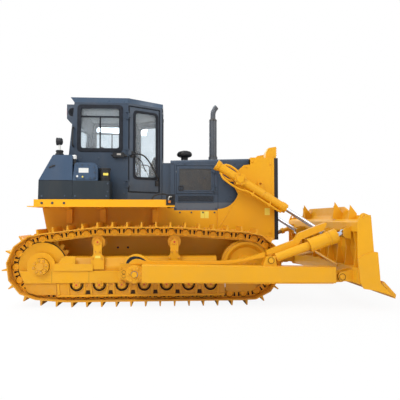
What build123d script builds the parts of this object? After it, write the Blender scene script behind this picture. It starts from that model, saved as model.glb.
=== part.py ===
"""Crawler bulldozer with a straight tilt blade: separate solids, one STEP file per node.

Frame: +X forward, +Y to the machine's left, +Z up, millimetres. The origin lies on the
ground, under the middle of the overall length. The blade is carried a little above the ground.
Shapes are made for the left (+Y) side and mirrored for the right, unless a piece is on one side only.
"""
from build123d import *
import math
import os

# ---------------------------------------------------------------- running gear
TRACK_GAUGE = 2000.0          # between the two track centre lines
SHOE_WIDTH = 560.0
SHOE_PLATE = 16.0             # thickness of a shoe's plate
GROUSER = 72.0                # height of a grouser below its plate
GROUSER_ROOT = 34.0           # its thickness at the plate and at the tip
GROUSER_TIP = 16.0
GROUSER_SHARE = 0.62          # its place along the shoe
TRACK_PITCH = 216.0           # nominal; the loop takes a whole number of shoes
PIN_ABOVE_SHOE = 65.0         # from a track pin out to the shoe's plate
RAIL_ABOVE_PIN = 60.0         # from a track pin in to the rail the rollers run on
LINK_SPREAD = 75.0            # from the track's centre line to a link's inner face
LINK_WIDTH = 40.0
SPROCKET_TEETH = 23           # every second gap takes a pin
SPROCKET_X = -2256.0
SPROCKET_Z = 589.0
SPROCKET_WIDTH = 70.0
SPROCKET_BORE_R = 322.0
TOOTH_TIP = 14.0              # past the circle of the track pins
TOOTH_ROOT = 36.0             # inside it
IDLER_X = 815.0
IDLER_PIN_R = 430.0           # circle of the track pins round the idler
IDLER_FLANGE_R = 386.0
IDLER_HALF_WIDTH = 108.0
IDLER_FLANGE_HALF = (50.0, 62.0)   # half width of the middle flange at its rim and at the tread
IDLER_RIM = 40.0              # thickness of the rim at its edge
IDLER_DISH_R = 90.0           # from the tread in to the dished middle
IDLER_WEB_HALF = 60.0
IDLER_HUB_R = (130.0, 150.0, 170.0)
IDLER_HUB_HALF = 100.0
IDLER_SHAFT_R = 60.0
ROLLER_FIRST_X = -1740.0
ROLLER_SPACING = 332.0
ROLLER_COUNT = 7
ROLLER_TREAD_R = 100.0
ROLLER_FLANGE_R = 118.0
ROLLER_TREAD_Y = (70.0, 116.0)     # from the track's centre line
ROLLER_FLANGE_Y = (119.0, 126.0)
ROLLER_END_Y = 130.0
ROLLER_END_R = 62.0
ROLLER_BARREL_Y = 64.0
ROLLER_EYE_R = 58.0           # the frame's eye round a roller's shaft
ROLLER_CAP = 8.0
CARRIER_XS = (-1438.0, -296.0)
CARRIER_TREAD_R = 86.0
CARRIER_Z = 944.0
RUN_GAP = 0.3                 # between a rail and what it runs on
CARRIER_DROP = 7.5            # slack of the upper run over its rollers

# ---------------------------------------------------------------- track frames
FRAME_BOX_HALF = 150.0        # half width of the box beam
FRAME_SIDE = 50.0             # thickness of the side bars outside the box
FRAME_BOX_Z = (440.0, 580.0, 722.0)   # underside, start of the bevel, top
FRAME_BOX_TOP_HALF = 92.0
FRAME_BOX_X = (-1815.0, 350.0)
SIDE_BAR_Z = (341.0, 520.0)
SIDE_BAR_REAR = (-2496.0, -2566.0)    # at its lower and at its upper edge
SIDE_BAR_FRONT = 1010.0
SIDE_BAR_RISE = (300.0, 640.0, 660.0)   # x where it starts and ends, and the height it reaches
INNER_BAR_REAR = -1915.0      # the inner bar stops ahead of the drive drum
GUARD_PLATE = 22.0
GUARD_Z = 132.0               # lower edge of the roller guards
GUARD_X = (-2028.0, 470.0)

# ---------------------------------------------------------------- hull
HULL_HALF = 600.0
HULL_FLOOR = 405.0            # ground clearance
HULL_REAR = (-2412.0, -2347.0, -2300.0)   # at the platform, half way and low down
PLATFORM_Z = 1580.0           # top of the platform
PLATFORM_PLATE = 16.0
FENDER_HALF = 1200.0
FENDER_SKIRT_Z = 1468.0
FENDER_X = (-2379.0, -407.0)
FENDER_LIP = 97.0
RAIL_X = (-1250.0, 1150.0)
RAIL_Z = (640.0, 1050.0)
PANEL_TOP = 1430.0            # where the yellow hull side ends below the hood

# ---------------------------------------------------------------- hood, guard, cab
HOOD_HALF = HULL_HALF - 100
HOOD_X = (-356.0, 965.0)
HOOD_TOP = (2270.0, 2308.0)   # at its rear and its front end
HOOD_PLATE = 14.0
COWL_HALF = HOOD_HALF - 40
ENGINE_DOOR_X = (-256.0, 374.0)
ENGINE_DOOR_Z = (1716.0, 2176.0)
LOUVRE_Z = (1572.0, 1674.0)
GUARD_SIDE = 20.0
GUARD_HALF = HULL_HALF + GUARD_SIDE
GUARD_FRONT = 1368.0
GUARD_TOP = 2310.0
GUARD_FOOT = 938.0
GRILLE_DEPTH = 66.0

CAB_HALF = 780.0
CAB_CORNER_X = -1037.0        # where the side wall turns in
CAB_FRONT_X = -494.0
COWL_X = CAB_FRONT_X + 3     # the cowl starts close before the cab
CAB_FRONT_HALF = 450.0
CAB_REAR_X = (-2036.0, -1886.0)   # at the floor and at the roof
CAB_FLOOR = PLATFORM_Z
CAB_TOP = 3148.0
CAB_WALL = 50.0
ROOF_THICK = 72.0
DOOR_GAP = 6.0

# ---------------------------------------------------------------- blade and its frame
TRUNNION = (-861.0, 510.0)    # x, z of the ball the push arm turns on
TRUNNION_BALL_R = 76.0
TRUNNION_PIN_R = 40.0
ARM_OUTER = 1660.0
ARM_WIDTH = 236.0
ARM_HEIGHT = 258.0
ARM_X = (-756.0, 2020.0)
ARM_Z = (521.0, 479.0)        # centre line at the two ends
BLADE_PIN = (2113.0, 455.0)
BLADE_PIN_R = 40.0
BLADE_HALF = 1862.0
STRUT_FOOT = (1083.0, 694.0)
STRUT_HEAD = (2192.0, 1086.0)
LIFT_Y = 790.0
LIFT_PIVOT = (763.0, 1925.0)
LIFT_EYE = (2157.0, 1048.0)

ARM_Y = ARM_OUTER - ARM_WIDTH / 2
TRACK_Y = TRACK_GAUGE / 2
SPROCKET_PIN_R = TRACK_PITCH / (2 * math.sin(2 * math.pi / SPROCKET_TEETH))
PIN_GROUND_Z = GROUSER + SHOE_PLATE + PIN_ABOVE_SHOE
RAIL_GROUND_Z = PIN_GROUND_Z + RAIL_ABOVE_PIN
IDLER_TREAD_R = math.sqrt(IDLER_PIN_R ** 2 - (TRACK_PITCH / 2) ** 2) - RAIL_ABOVE_PIN
IDLER_Z = PIN_GROUND_Z + IDLER_PIN_R
ROLLER_Z = RAIL_GROUND_Z + ROLLER_TREAD_R
ROLLER_XS = [ROLLER_FIRST_X + i * ROLLER_SPACING for i in range(ROLLER_COUNT)]
CARRIER_PIN_Z = CARRIER_Z + CARRIER_TREAD_R + RAIL_ABOVE_PIN

nodes = {}


# ================================================================ helpers
def outline(points):
    """A closed face on the XY plane. Each point is (a, b) or (a, b, radius of its rounded corner)."""
    count = len(points)
    ends = []
    for i, point in enumerate(points):
        here = Vector(point[0], point[1])
        if len(point) < 3:
            ends.append((here, here, here))
            continue
        back = Vector(*points[i - 1][:2]) - here
        ahead = Vector(*points[(i + 1) % count][:2]) - here
        half = math.radians(back.get_angle(ahead)) / 2
        reach = point[2] / math.tan(half)
        inward = (back.normalized() + ahead.normalized()).normalized()
        middle = here + inward * (point[2] / math.sin(half) - point[2])
        ends.append((here + back.normalized() * reach, middle, here + ahead.normalized() * reach))
    edges = []
    for i, (start, middle, stop) in enumerate(ends):
        if (stop - start).length > 1e-6:
            edges.append(ThreePointArc(start, middle, stop))
        following = ends[(i + 1) % count][0]
        if (following - stop).length > 1e-6:
            edges.append(Line(stop, following))
    return make_face(edges)


def plate_xz(points, y0, y1):
    """An outline in side view (x, z), thick from y0 to y1."""
    return Pos(0, max(y0, y1), 0) * extrude(Plane.XZ * outline(points), amount=abs(y1 - y0))


def plate_yz(points, x0, x1):
    """An outline seen from the front (y, z), thick from x0 to x1."""
    return Pos(x0, 0, 0) * extrude(Plane.YZ * outline(points), amount=x1 - x0)


def plate_xy(points, z0, z1):
    """An outline in plan (x, y), thick from z0 to z1."""
    return Pos(0, 0, z0) * extrude(outline(points), amount=z1 - z0)


def block(x, y, z):
    """A box from three (low, high) pairs."""
    return Pos((x[0] + x[1]) / 2, (y[0] + y[1]) / 2, (z[0] + z[1]) / 2) * Box(
        abs(x[1] - x[0]), abs(y[1] - y[0]), abs(z[1] - z[0]))


def span(start, reach):
    """(low, high) of the stretch from start that is reach long, either way."""
    return min(start, start + reach), max(start, start + reach)


def disc_y(x, z, radius, y0, y1):
    """A cylinder along Y."""
    return Pos(x, (y0 + y1) / 2, z) * Rot(90, 0, 0) * Cylinder(radius, abs(y1 - y0))


def disc_z(x, y, radius, z0, z1):
    """A cylinder along Z."""
    return Pos(x, y, (z0 + z1) / 2) * Cylinder(radius, z1 - z0)


def disc_x(y, z, radius, x0, x1):
    """A cylinder along X."""
    return Pos((x0 + x1) / 2, y, z) * Rot(0, 90, 0) * Cylinder(radius, x1 - x0)


def turned_y(profile, x, z, y):
    """A profile of (radius, distance along Y) turned about a Y axis through (x, z), starting at y."""
    face = Plane.XY * outline(profile)
    return Pos(x, y, z) * revolve(face, axis=Axis.Y)


def mirrored(shape):
    return mirror(shape, about=Plane.XZ)


def both(name, left):
    """The left shape and its mirror image, as two nodes."""
    nodes[name + "_left"] = left
    nodes[name + "_right"] = mirrored(left)


def group(shapes):
    return Compound(children=[solid for shape in shapes for solid in shape.solids()])


def pair(name, left):
    """The left shape and its mirror image, as one node."""
    nodes[name] = group([left, mirrored(left)])


def ball_on_pin(x, z, y, radius, half):
    """The round middle of a pin, on which an eye can lean as well as turn."""
    reach = radius + 1
    slab = block((x - reach, x + reach), (y - half, y + half), (z - reach, z + reach))
    return Pos(x, y, z) * Sphere(radius) & slab


def along(foot, head, y):
    """A plane at the foot of a line in side view, its Z axis along the line and its X axis across, upward."""
    run = Vector(head[0] - foot[0], 0, head[1] - foot[1]).normalized()
    return Plane(origin=(foot[0], y, foot[1]), x_dir=(-run.Z, 0, run.X), z_dir=run)


def spool(foot, head, y, profile):
    """Stacked cylinders along a line in side view: (from, to, radius) rows."""
    plane = along(foot, head, y)
    shape = Part()
    for start, stop, radius in profile:
        shape += plane * (Pos(0, 0, (start + stop) / 2) * Cylinder(radius, stop - start))
    return shape


def distance(a, b):
    return math.hypot(b[0] - a[0], b[1] - a[1])


def rectangle(a, b, radius=0.0, grow=0.0):
    """The corners of a rectangle, from its two (low, high) pairs."""
    low_a, high_a, low_b, high_b = a[0] - grow, a[1] + grow, b[0] - grow, b[1] + grow
    corners = [(low_a, low_b), (high_a, low_b), (high_a, high_b), (low_a, high_b)]
    return [(x, y, radius) for x, y in corners] if radius else corners


# ================================================================ track loop
def pin_path():
    """The line that the track pins follow, as (x, z) points 3 degrees apart on the two wraps."""
    step = 3

    def arc(x, z, radius, start, stop):
        turns = max(2, round(abs(stop - start) / step))
        return [(x + radius * math.cos(math.radians(start + (stop - start) * i / turns)),
                 z + radius * math.sin(math.radians(start + (stop - start) * i / turns)))
                for i in range(turns + 1)]

    def tangent(x, z, radius, px, pz, side):
        """The angle on a circle where a line from (px, pz) touches it."""
        span = math.hypot(px - x, pz - z)
        return math.degrees(math.atan2(pz - z, px - x) + side * math.acos(radius / span))

    rear_top = tangent(SPROCKET_X, SPROCKET_Z, SPROCKET_PIN_R, CARRIER_XS[0], CARRIER_PIN_Z, 1)
    rear_low = tangent(SPROCKET_X, SPROCKET_Z, SPROCKET_PIN_R, ROLLER_XS[0] - 150, PIN_GROUND_Z, -1)
    front_top = tangent(IDLER_X, IDLER_Z, IDLER_PIN_R, CARRIER_XS[1], CARRIER_PIN_Z, -1)
    path = arc(SPROCKET_X, SPROCKET_Z, SPROCKET_PIN_R, rear_low % 360, rear_top % 360)
    path += [(x, CARRIER_PIN_Z) for x in CARRIER_XS]
    path += arc(IDLER_X, IDLER_Z, IDLER_PIN_R, front_top, -90)
    path.append((ROLLER_XS[0] - 150, PIN_GROUND_Z))
    return path


def spaced_pins():
    """Equally spaced pins round the whole path, and the outward unit mitre at each of them."""
    path = pin_path()
    path.append(path[0])
    runs = [distance(a, b) for a, b in zip(path, path[1:])]
    count = round(sum(runs) / TRACK_PITCH)
    pitch = sum(runs) / count
    pins = []
    travelled = 0.0
    wanted = 0.0
    for (a, b), run in zip(zip(path, path[1:]), runs):
        while len(pins) < count and wanted <= travelled + run:
            share = (wanted - travelled) / run
            pins.append((a[0] + (b[0] - a[0]) * share, a[1] + (b[1] - a[1]) * share))
            wanted += pitch
        travelled += run
    mitres = []
    for i, here in enumerate(pins):
        before, after = pins[i - 1], pins[(i + 1) % count]
        sides = []
        for a, b in ((before, here), (here, after)):
            length = distance(a, b)
            sides.append((-(b[1] - a[1]) / length, (b[0] - a[0]) / length))
        mx, mz = sides[0][0] + sides[1][0], sides[0][1] + sides[1][1]
        scale = 2 / (mx * mx + mz * mz)
        mitres.append((mx * scale, mz * scale))
    return pins, mitres


def offset_loop(pins, mitres, reach):
    return [(p[0] + m[0] * reach, p[1] + m[1] * reach) for p, m in zip(pins, mitres)]


def ring(outer, inner, y0, y1):
    return plate_xz(outer, y0, y1) - plate_xz(inner, y0 - 1, y1 + 1)


def make_track():
    pins, mitres = spaced_pins()
    under = offset_loop(pins, mitres, PIN_ABOVE_SHOE)
    outer = offset_loop(pins, mitres, PIN_ABOVE_SHOE + SHOE_PLATE)
    lugged = []
    for i, a in enumerate(outer):
        b = outer[(i + 1) % len(outer)]
        length = distance(a, b)
        tx, tz = (b[0] - a[0]) / length, (b[1] - a[1]) / length
        middle = length * GROUSER_SHARE
        lugged.append(a)
        for shift, rise in ((-GROUSER_ROOT / 2, 0), (-GROUSER_TIP / 2, GROUSER),
                            (GROUSER_TIP / 2, GROUSER), (GROUSER_ROOT / 2, 0)):
            reach = middle + shift
            lugged.append((a[0] + tx * reach - tz * rise, a[1] + tz * reach + tx * rise))
    shoes = ring(lugged, under, TRACK_Y - SHOE_WIDTH / 2, TRACK_Y + SHOE_WIDTH / 2)
    rail_outer = offset_loop(pins, mitres, PIN_ABOVE_SHOE + SHOE_PLATE / 2)
    rail_inner = offset_loop(pins, mitres, -RAIL_ABOVE_PIN)
    for side in (-1, 1):
        shoes += ring(rail_outer, rail_inner, *span(TRACK_Y + side * LINK_SPREAD, side * LINK_WIDTH))
    return shoes


both("track", make_track())


# ================================================================ sprocket, idler, rollers
def make_sprocket():
    tip = SPROCKET_PIN_R + TOOTH_TIP
    root = SPROCKET_PIN_R - TOOTH_ROOT
    points = []
    for i in range(SPROCKET_TEETH):
        for share, radius in ((-0.36, root), (-0.16, tip), (0.16, tip), (0.36, root)):
            angle = 2 * math.pi * (i + share) / SPROCKET_TEETH
            points.append((SPROCKET_X + radius * math.cos(angle), SPROCKET_Z + radius * math.sin(angle)))
    low, high = TRACK_Y - SPROCKET_WIDTH / 2, TRACK_Y + SPROCKET_WIDTH / 2
    return plate_xz(points, low, high) - disc_y(SPROCKET_X, SPROCKET_Z, SPROCKET_BORE_R, low - 1, high + 1)


pair("sprockets", make_sprocket())

DRIVE_OUTER = 132.0           # from the track's centre line out to the drive drum's end
DRIVE_COVER_R = 348.0         # the drum's outer cover, which hides the foot of the teeth
DRIVE_COVER_GAP = 4.0         # from the outer rail to the cover
HUB_BOSS_R = 205.0
HUB_COVER_R = 120.0
HUB_COVER_DEPTH = 62.0
HUB_SHAFT_R = 88.0
DRUM_R = (240.0, 250.0)       # where it leaves the hull and at its outer end
DRUM_CONE = 120.0             # length of its cone
DRUM_WIDE = 90.0              # its full width ends this far past the track's centre line
FRAME_OUTER = TRACK_Y + FRAME_BOX_HALF + FRAME_SIDE

drum_end = TRACK_Y + DRIVE_OUTER - HULL_HALF
drum = turned_y([(0, 0), (DRUM_R[0], 0), (SPROCKET_BORE_R, DRUM_CONE),
                 (SPROCKET_BORE_R, TRACK_Y + DRUM_WIDE - HULL_HALF), (DRUM_R[1], drum_end), (0, drum_end)],
                SPROCKET_X, SPROCKET_Z, HULL_HALF)
drum += disc_y(SPROCKET_X, SPROCKET_Z, DRIVE_COVER_R, TRACK_Y + LINK_SPREAD + LINK_WIDTH + DRIVE_COVER_GAP,
               TRACK_Y + DRIVE_OUTER)
drum += disc_y(SPROCKET_X, SPROCKET_Z, HUB_SHAFT_R, TRACK_Y + DRIVE_OUTER, FRAME_OUTER)
drum += disc_y(SPROCKET_X, SPROCKET_Z, HUB_COVER_R, FRAME_OUTER, FRAME_OUTER + HUB_COVER_DEPTH)
pair("final_drives", drum)

rim_half, flange_low, flange_high = IDLER_FLANGE_HALF[1], -IDLER_FLANGE_HALF[0], IDLER_FLANGE_HALF[0]
tread_r, dish_r = IDLER_TREAD_R - RUN_GAP, IDLER_TREAD_R - IDLER_DISH_R
hub_in, hub_out, hub_wide = IDLER_HUB_R
idler = turned_y([(IDLER_SHAFT_R, -IDLER_HALF_WIDTH), (tread_r, -IDLER_HALF_WIDTH), (tread_r, -rim_half),
                  (IDLER_FLANGE_R, flange_low), (IDLER_FLANGE_R, flange_high), (tread_r, rim_half),
                  (tread_r, IDLER_HALF_WIDTH), (IDLER_TREAD_R - IDLER_RIM, IDLER_HALF_WIDTH),
                  (dish_r, IDLER_WEB_HALF), (hub_out, IDLER_WEB_HALF), (hub_in, IDLER_HUB_HALF),
                  (IDLER_SHAFT_R, IDLER_HALF_WIDTH)], IDLER_X, IDLER_Z, TRACK_Y)
idler -= turned_y([(hub_out, -IDLER_HALF_WIDTH - 1), (IDLER_TREAD_R - IDLER_RIM, -IDLER_HALF_WIDTH - 1),
                   (dish_r, -IDLER_WEB_HALF), (hub_wide, -IDLER_WEB_HALF)], IDLER_X, IDLER_Z, TRACK_Y)
idler += disc_y(IDLER_X, IDLER_Z, IDLER_SHAFT_R, TRACK_Y - FRAME_BOX_HALF - FRAME_SIDE, FRAME_OUTER + 14)
pair("idlers", idler)


def roller(x, z, tread, flange, end_r, reach):
    """A shaft with two treads and flanges; the profile is made for one half and turned about."""
    half = [(end_r + 4, ROLLER_BARREL_Y), (tread, ROLLER_TREAD_Y[0]), (tread, ROLLER_TREAD_Y[1]),
            (flange, ROLLER_FLANGE_Y[0]), (flange, ROLLER_FLANGE_Y[1]), (end_r, ROLLER_END_Y),
            (end_r, reach), (0, reach)]
    return turned_y([(radius, -y) for radius, y in reversed(half)] + half, x, z, TRACK_Y)


pair("track_rollers", group(roller(x, ROLLER_Z, ROLLER_TREAD_R - RUN_GAP, ROLLER_FLANGE_R, ROLLER_END_R,
                                   FRAME_BOX_HALF) for x in ROLLER_XS))
pair("carrier_rollers", group(roller(x, CARRIER_Z, CARRIER_TREAD_R - CARRIER_DROP, CARRIER_TREAD_R + 14,
                                     ROLLER_EYE_R, FRAME_BOX_HALF) for x in CARRIER_XS))


# ================================================================ track frames
def make_track_frame():
    low, bevel, top = FRAME_BOX_Z
    half, top_half = FRAME_BOX_HALF, FRAME_BOX_TOP_HALF
    box = plate_yz([(TRACK_Y - half, low), (TRACK_Y + half, low), (TRACK_Y + half, bevel),
                    (TRACK_Y + top_half, top, 40), (TRACK_Y - top_half, top, 40), (TRACK_Y - half, bevel)],
                   *FRAME_BOX_X)
    front = [(SIDE_BAR_RISE[0], SIDE_BAR_Z[1]), (SIDE_BAR_RISE[1], SIDE_BAR_RISE[2], 80),
             (SIDE_BAR_FRONT, SIDE_BAR_RISE[2], 60), (SIDE_BAR_FRONT, SIDE_BAR_Z[0] + 110, 60),
             (GUARD_X[1], SIDE_BAR_Z[0])]
    rear = {1: [(SIDE_BAR_REAR[0], SIDE_BAR_Z[0]), (SIDE_BAR_REAR[1], SIDE_BAR_Z[1])],
            -1: [(INNER_BAR_REAR, SIDE_BAR_Z[0]), (INNER_BAR_REAR, SIDE_BAR_Z[1])]}
    frame = box
    for side in (-1, 1):
        face = TRACK_Y + side * FRAME_BOX_HALF
        low_y, high_y = sorted((face, face + side * FRAME_SIDE))
        frame += plate_xz(rear[side] + front, low_y, high_y)
        frame -= disc_y(IDLER_X, IDLER_Z, IDLER_SHAFT_R, low_y - 1, high_y + 1)
        for x in ROLLER_XS:
            eye_x = (x - ROLLER_EYE_R, x + ROLLER_EYE_R)
            frame += block(eye_x, (low_y, high_y), (ROLLER_Z, SIDE_BAR_Z[0] + 1))
            frame += disc_y(x, ROLLER_Z, ROLLER_EYE_R, low_y, high_y + (ROLLER_CAP if side > 0 else 0))
    frame += disc_y(SPROCKET_X, SPROCKET_Z, HUB_BOSS_R, TRACK_Y + FRAME_BOX_HALF, FRAME_OUTER)
    frame -= disc_y(SPROCKET_X, SPROCKET_Z, HUB_SHAFT_R, TRACK_Y + FRAME_BOX_HALF - 1, FRAME_OUTER + 1)
    return frame


POST_HALF = (96.0, 60.0)      # half width of a carrier roller's post, at its foot and above
POST_Z = (FRAME_BOX_Z[1] - 40, 720.0, 760.0)   # its foot, and where it narrows
POST_CROWN = 62.0
track_frame = make_track_frame()
for x in CARRIER_XS:
    foot, neck = POST_HALF
    post = plate_xz([(x - foot, POST_Z[0]), (x + foot, POST_Z[0]), (x + foot, POST_Z[1]),
                     (x + neck, POST_Z[2]), (x + neck, CARRIER_Z, 40), (x, CARRIER_Z + POST_CROWN), (x - neck, CARRIER_Z, 40),
                     (x - neck, POST_Z[2]), (x - foot, POST_Z[1])], TRACK_Y + FRAME_BOX_HALF, FRAME_OUTER)
    track_frame += post
pair("track_frames", track_frame)


GUARD_ARC_R = 100.0           # cut out round each roller
REAR_GUARD_Z = (165.0, 205.0)
FRONT_GUARD_Z = (190.0, 460.0)


def make_roller_guard(y0, y1):
    guard = plate_xz([(GUARD_X[0], GUARD_Z), (GUARD_X[1], GUARD_Z), (GUARD_X[1], SIDE_BAR_Z[0]),
                      (GUARD_X[0], SIDE_BAR_Z[0])], y0, y1)
    for x in ROLLER_XS:
        guard -= disc_y(x, ROLLER_Z, GUARD_ARC_R, y0 - 1, y1 + 1)
        guard -= block((x - GUARD_ARC_R, x + GUARD_ARC_R), (y0 - 1, y1 + 1), (ROLLER_Z, SIDE_BAR_Z[0] + 1))
    rear = plate_xz([(SIDE_BAR_REAR[0] - 10, SIDE_BAR_Z[0]), (SPROCKET_X - 200, REAR_GUARD_Z[1], 60),
                     (SPROCKET_X - 60, REAR_GUARD_Z[0], 60), (GUARD_X[0] - 4, REAR_GUARD_Z[0]),
                     (GUARD_X[0] - 4, SIDE_BAR_Z[0])], y0, y1)
    front = plate_xz([(GUARD_X[1] + 8, SIDE_BAR_Z[0] + 60), (GUARD_X[1] + 8, FRONT_GUARD_Z[0], 60),
                      (IDLER_X + 120, FRONT_GUARD_Z[0], 120), (IDLER_X + 190, FRONT_GUARD_Z[1])], y0, y1)
    return [guard, rear, front - track_frame]


guard_y = TRACK_Y + FRAME_BOX_HALF + 6
pair("roller_guards", group(make_roller_guard(guard_y, guard_y + GUARD_PLATE)))


# ================================================================ hull
def make_main_frame():
    case = plate_xz([(HULL_REAR[0], FENDER_SKIRT_Z), (HULL_REAR[1], 1145), (HULL_REAR[2], 700, 60),
                     (HULL_REAR[2] + 160, HULL_FLOOR + 40, 60), (RAIL_X[0], HULL_FLOOR + 40),
                     (RAIL_X[0], FENDER_SKIRT_Z)], -HULL_HALF, HULL_HALF)
    front = block((RAIL_X[1] - 150, RAIL_X[1]), (-HULL_HALF, HULL_HALF), (RAIL_Z[0], GUARD_FOOT))
    frame = case + front
    for side in (-1, 1):
        rail_y = sorted((side * HULL_HALF, side * (HULL_HALF - 130)))
        skin_y = sorted((side * HULL_HALF, side * (HULL_HALF - 24)))
        frame += block(RAIL_X, rail_y, RAIL_Z)
        frame += block((RAIL_X[0], FENDER_X[1] + 110), skin_y, (RAIL_Z[1], FENDER_SKIRT_Z))
        frame += block((FENDER_X[1] + 110, 420), skin_y, (RAIL_Z[1], PANEL_TOP))
    return frame


nodes["main_frame"] = make_main_frame()

BELLY_PLATE = 20.0
BELLY_BEVEL = (150.0, 560.0)  # how far in its floor starts, and the height where the bevel ends
belly_bend = BELLY_BEVEL[1]
flat = HULL_HALF - BELLY_BEVEL[0]
inner_half, inner_bend, inner_flat = HULL_HALF - BELLY_PLATE, belly_bend + 8, flat - 8
belly = plate_yz([(-HULL_HALF, RAIL_Z[0]), (-HULL_HALF, belly_bend), (-flat, HULL_FLOOR), (flat, HULL_FLOOR),
                  (HULL_HALF, belly_bend), (HULL_HALF, RAIL_Z[0]), (inner_half, RAIL_Z[0]),
                  (inner_half, inner_bend), (inner_flat, HULL_FLOOR + BELLY_PLATE),
                  (-inner_flat, HULL_FLOOR + BELLY_PLATE), (-inner_half, inner_bend),
                  (-inner_half, RAIL_Z[0])], *RAIL_X)

ENGINE_X = (-330.0, 800.0)
ENGINE_HALF = 340.0
ENGINE_Z = (800.0, 1900.0)
ENGINE_TOP = ENGINE_Z[1]
MOUNT_XS = (-200.0, 650.0)
MOUNT_HALF = 60.0
MOUNT_Z = (860.0, 940.0)
RAIL_WIDTH = 130.0            # of the main frame's two long rails
engine = block(ENGINE_X, (-ENGINE_HALF, ENGINE_HALF), ENGINE_Z)
for side in (-1, 1):
    for x in MOUNT_XS:
        engine += block((x - MOUNT_HALF, x + MOUNT_HALF),
                        span(side * ENGINE_HALF, side * (HULL_HALF - RAIL_WIDTH - ENGINE_HALF)), MOUNT_Z)
nodes["engine_block"] = engine

DRAWBAR_Z = 640.0
DRAWBAR_PIN_X = -2480.0
DRAWBAR_PIN_R = 30.0
drawbar = block((-2560, HULL_REAR[2] - 10), (-110, 110), (DRAWBAR_Z - 110, DRAWBAR_Z + 110))
drawbar = fillet(drawbar.edges().filter_by(Axis.Z).group_by(Axis.X)[0], 70)
drawbar -= block((-2600, -2400), (-120, 120), (DRAWBAR_Z - 60, DRAWBAR_Z + 60))
drawbar -= disc_z(DRAWBAR_PIN_X, 0, DRAWBAR_PIN_R, DRAWBAR_Z - 130, DRAWBAR_Z + 130)
drawbar += plate_yz([(-220, DRAWBAR_Z - 160, 40), (220, DRAWBAR_Z - 160, 40), (220, DRAWBAR_Z + 160, 40),
                     (-220, DRAWBAR_Z + 160, 40)], HULL_REAR[2] - 40, HULL_REAR[2] - 10)
drawbar += block((HULL_REAR[2] - 41, HULL_REAR[2] + 120), (-200, 200), (DRAWBAR_Z - 90, DRAWBAR_Z + 130))
nodes["drawbar"] = drawbar - nodes["main_frame"]

TOW_EYE = (1240.0, 700.0)     # x, z of its pin, which stands upright
TOW_EYE_R = 32.0
TOW_HALF = (75.0, 35.0)       # half width, half thickness
tow_front = TOW_EYE[0] + TOW_HALF[0]
tow = plate_xy([(RAIL_X[1], -TOW_HALF[0]), (tow_front, -TOW_HALF[0], 60), (tow_front, TOW_HALF[0], 60),
                (RAIL_X[1], TOW_HALF[0])], TOW_EYE[1] - TOW_HALF[1], TOW_EYE[1] + TOW_HALF[1])
tow -= disc_z(TOW_EYE[0], 0, TOW_EYE_R, TOW_EYE[1] - TOW_HALF[1] - 1, TOW_EYE[1] + TOW_HALF[1] + 1)
nodes["tow_bracket"] = tow

# Axle tubes and bars that tie the track frames to the hull.
FRAME_INNER = TRACK_Y - FRAME_BOX_HALF - FRAME_SIDE
pivot = disc_y(-1600, 560, 90, HULL_HALF, FRAME_INNER)
pair("pivot_shafts", pivot)
EQUALIZER_X = (590.0, 730.0)
EQUALIZER_Z = (575.0, RAIL_Z[0])
nodes["equalizer_bar"] = block(EQUALIZER_X, (-FRAME_INNER, FRAME_INNER), EQUALIZER_Z)
bar_slot = block(EQUALIZER_X, (-FRAME_INNER, FRAME_INNER), (EQUALIZER_Z[0], EQUALIZER_Z[1] + 1))
nodes["belly_guard"] = belly - bar_slot

# ---------------------------------------------------------------- platform and fenders
platform = block(FENDER_X, (-HULL_HALF, HULL_HALF), (FENDER_SKIRT_Z, PLATFORM_Z))
platform -= block((FENDER_X[0] + 60, FENDER_X[1] - 60), (-HULL_HALF + 60, HULL_HALF - 60),
                  (FENDER_SKIRT_Z - 1, PLATFORM_Z - PLATFORM_PLATE))
nodes["platform"] = platform

SKIRT = 20.0
FENDER_TOE = (115.0, 22.0)    # length and height of its sloping front
fender_toe = FENDER_X[1] + FENDER_TOE[0]
fender = plate_xz([(FENDER_X[0], FENDER_SKIRT_Z), (fender_toe, FENDER_SKIRT_Z),
                   (fender_toe, FENDER_SKIRT_Z + FENDER_TOE[1]), (FENDER_X[1], PLATFORM_Z),
                   (FENDER_X[0], PLATFORM_Z)], HULL_HALF, FENDER_HALF)
fender -= block((FENDER_X[0] + SKIRT, FENDER_X[1] + 200), (HULL_HALF - 1, FENDER_HALF - SKIRT),
                (FENDER_SKIRT_Z - 1, PLATFORM_Z - PLATFORM_PLATE))
fender += block((FENDER_X[0] - FENDER_LIP, FENDER_X[0]), (HULL_HALF, FENDER_HALF), span(FENDER_SKIRT_Z, 14))
FENDER_BRACKETS = (-1967.0, -1437.0, -599.0)
BRACKET_HALF = 45.0
BRACKET_DEPTH = 80.0          # of the post that stands against the hull
BRACKET_Z = (1225.0, 1440.0)  # the post's foot, and where the arm leaves it
under_plate = PLATFORM_Z - PLATFORM_PLATE
for x in FENDER_BRACKETS:
    fender += plate_yz([(HULL_HALF, BRACKET_Z[0]), (HULL_HALF + BRACKET_DEPTH, BRACKET_Z[0]),
                        (HULL_HALF + BRACKET_DEPTH, BRACKET_Z[1]), (FENDER_HALF - SKIRT, FENDER_SKIRT_Z + SKIRT),
                        (FENDER_HALF - SKIRT, under_plate), (HULL_HALF, under_plate)],
                       x - BRACKET_HALF, x + BRACKET_HALF)
pair("fenders", fender)

# ---------------------------------------------------------------- tanks
TANK_REAR = (-2326.0, -2321.0, -2112.0)   # at the foot, below the slope, at the top
TANK_Z = (PLATFORM_Z, 1868.0, 2250.0)
TANK_FRONT = -1826.0
TANK_HALF = 1170.0
CAB_CLEAR = 30.0


def cab_rear_at(z):
    """The rear wall's outer face at a height."""
    share = (z - CAB_FLOOR) / (CAB_TOP - CAB_FLOOR)
    return CAB_REAR_X[0] + (CAB_REAR_X[1] - CAB_REAR_X[0]) * share


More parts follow.
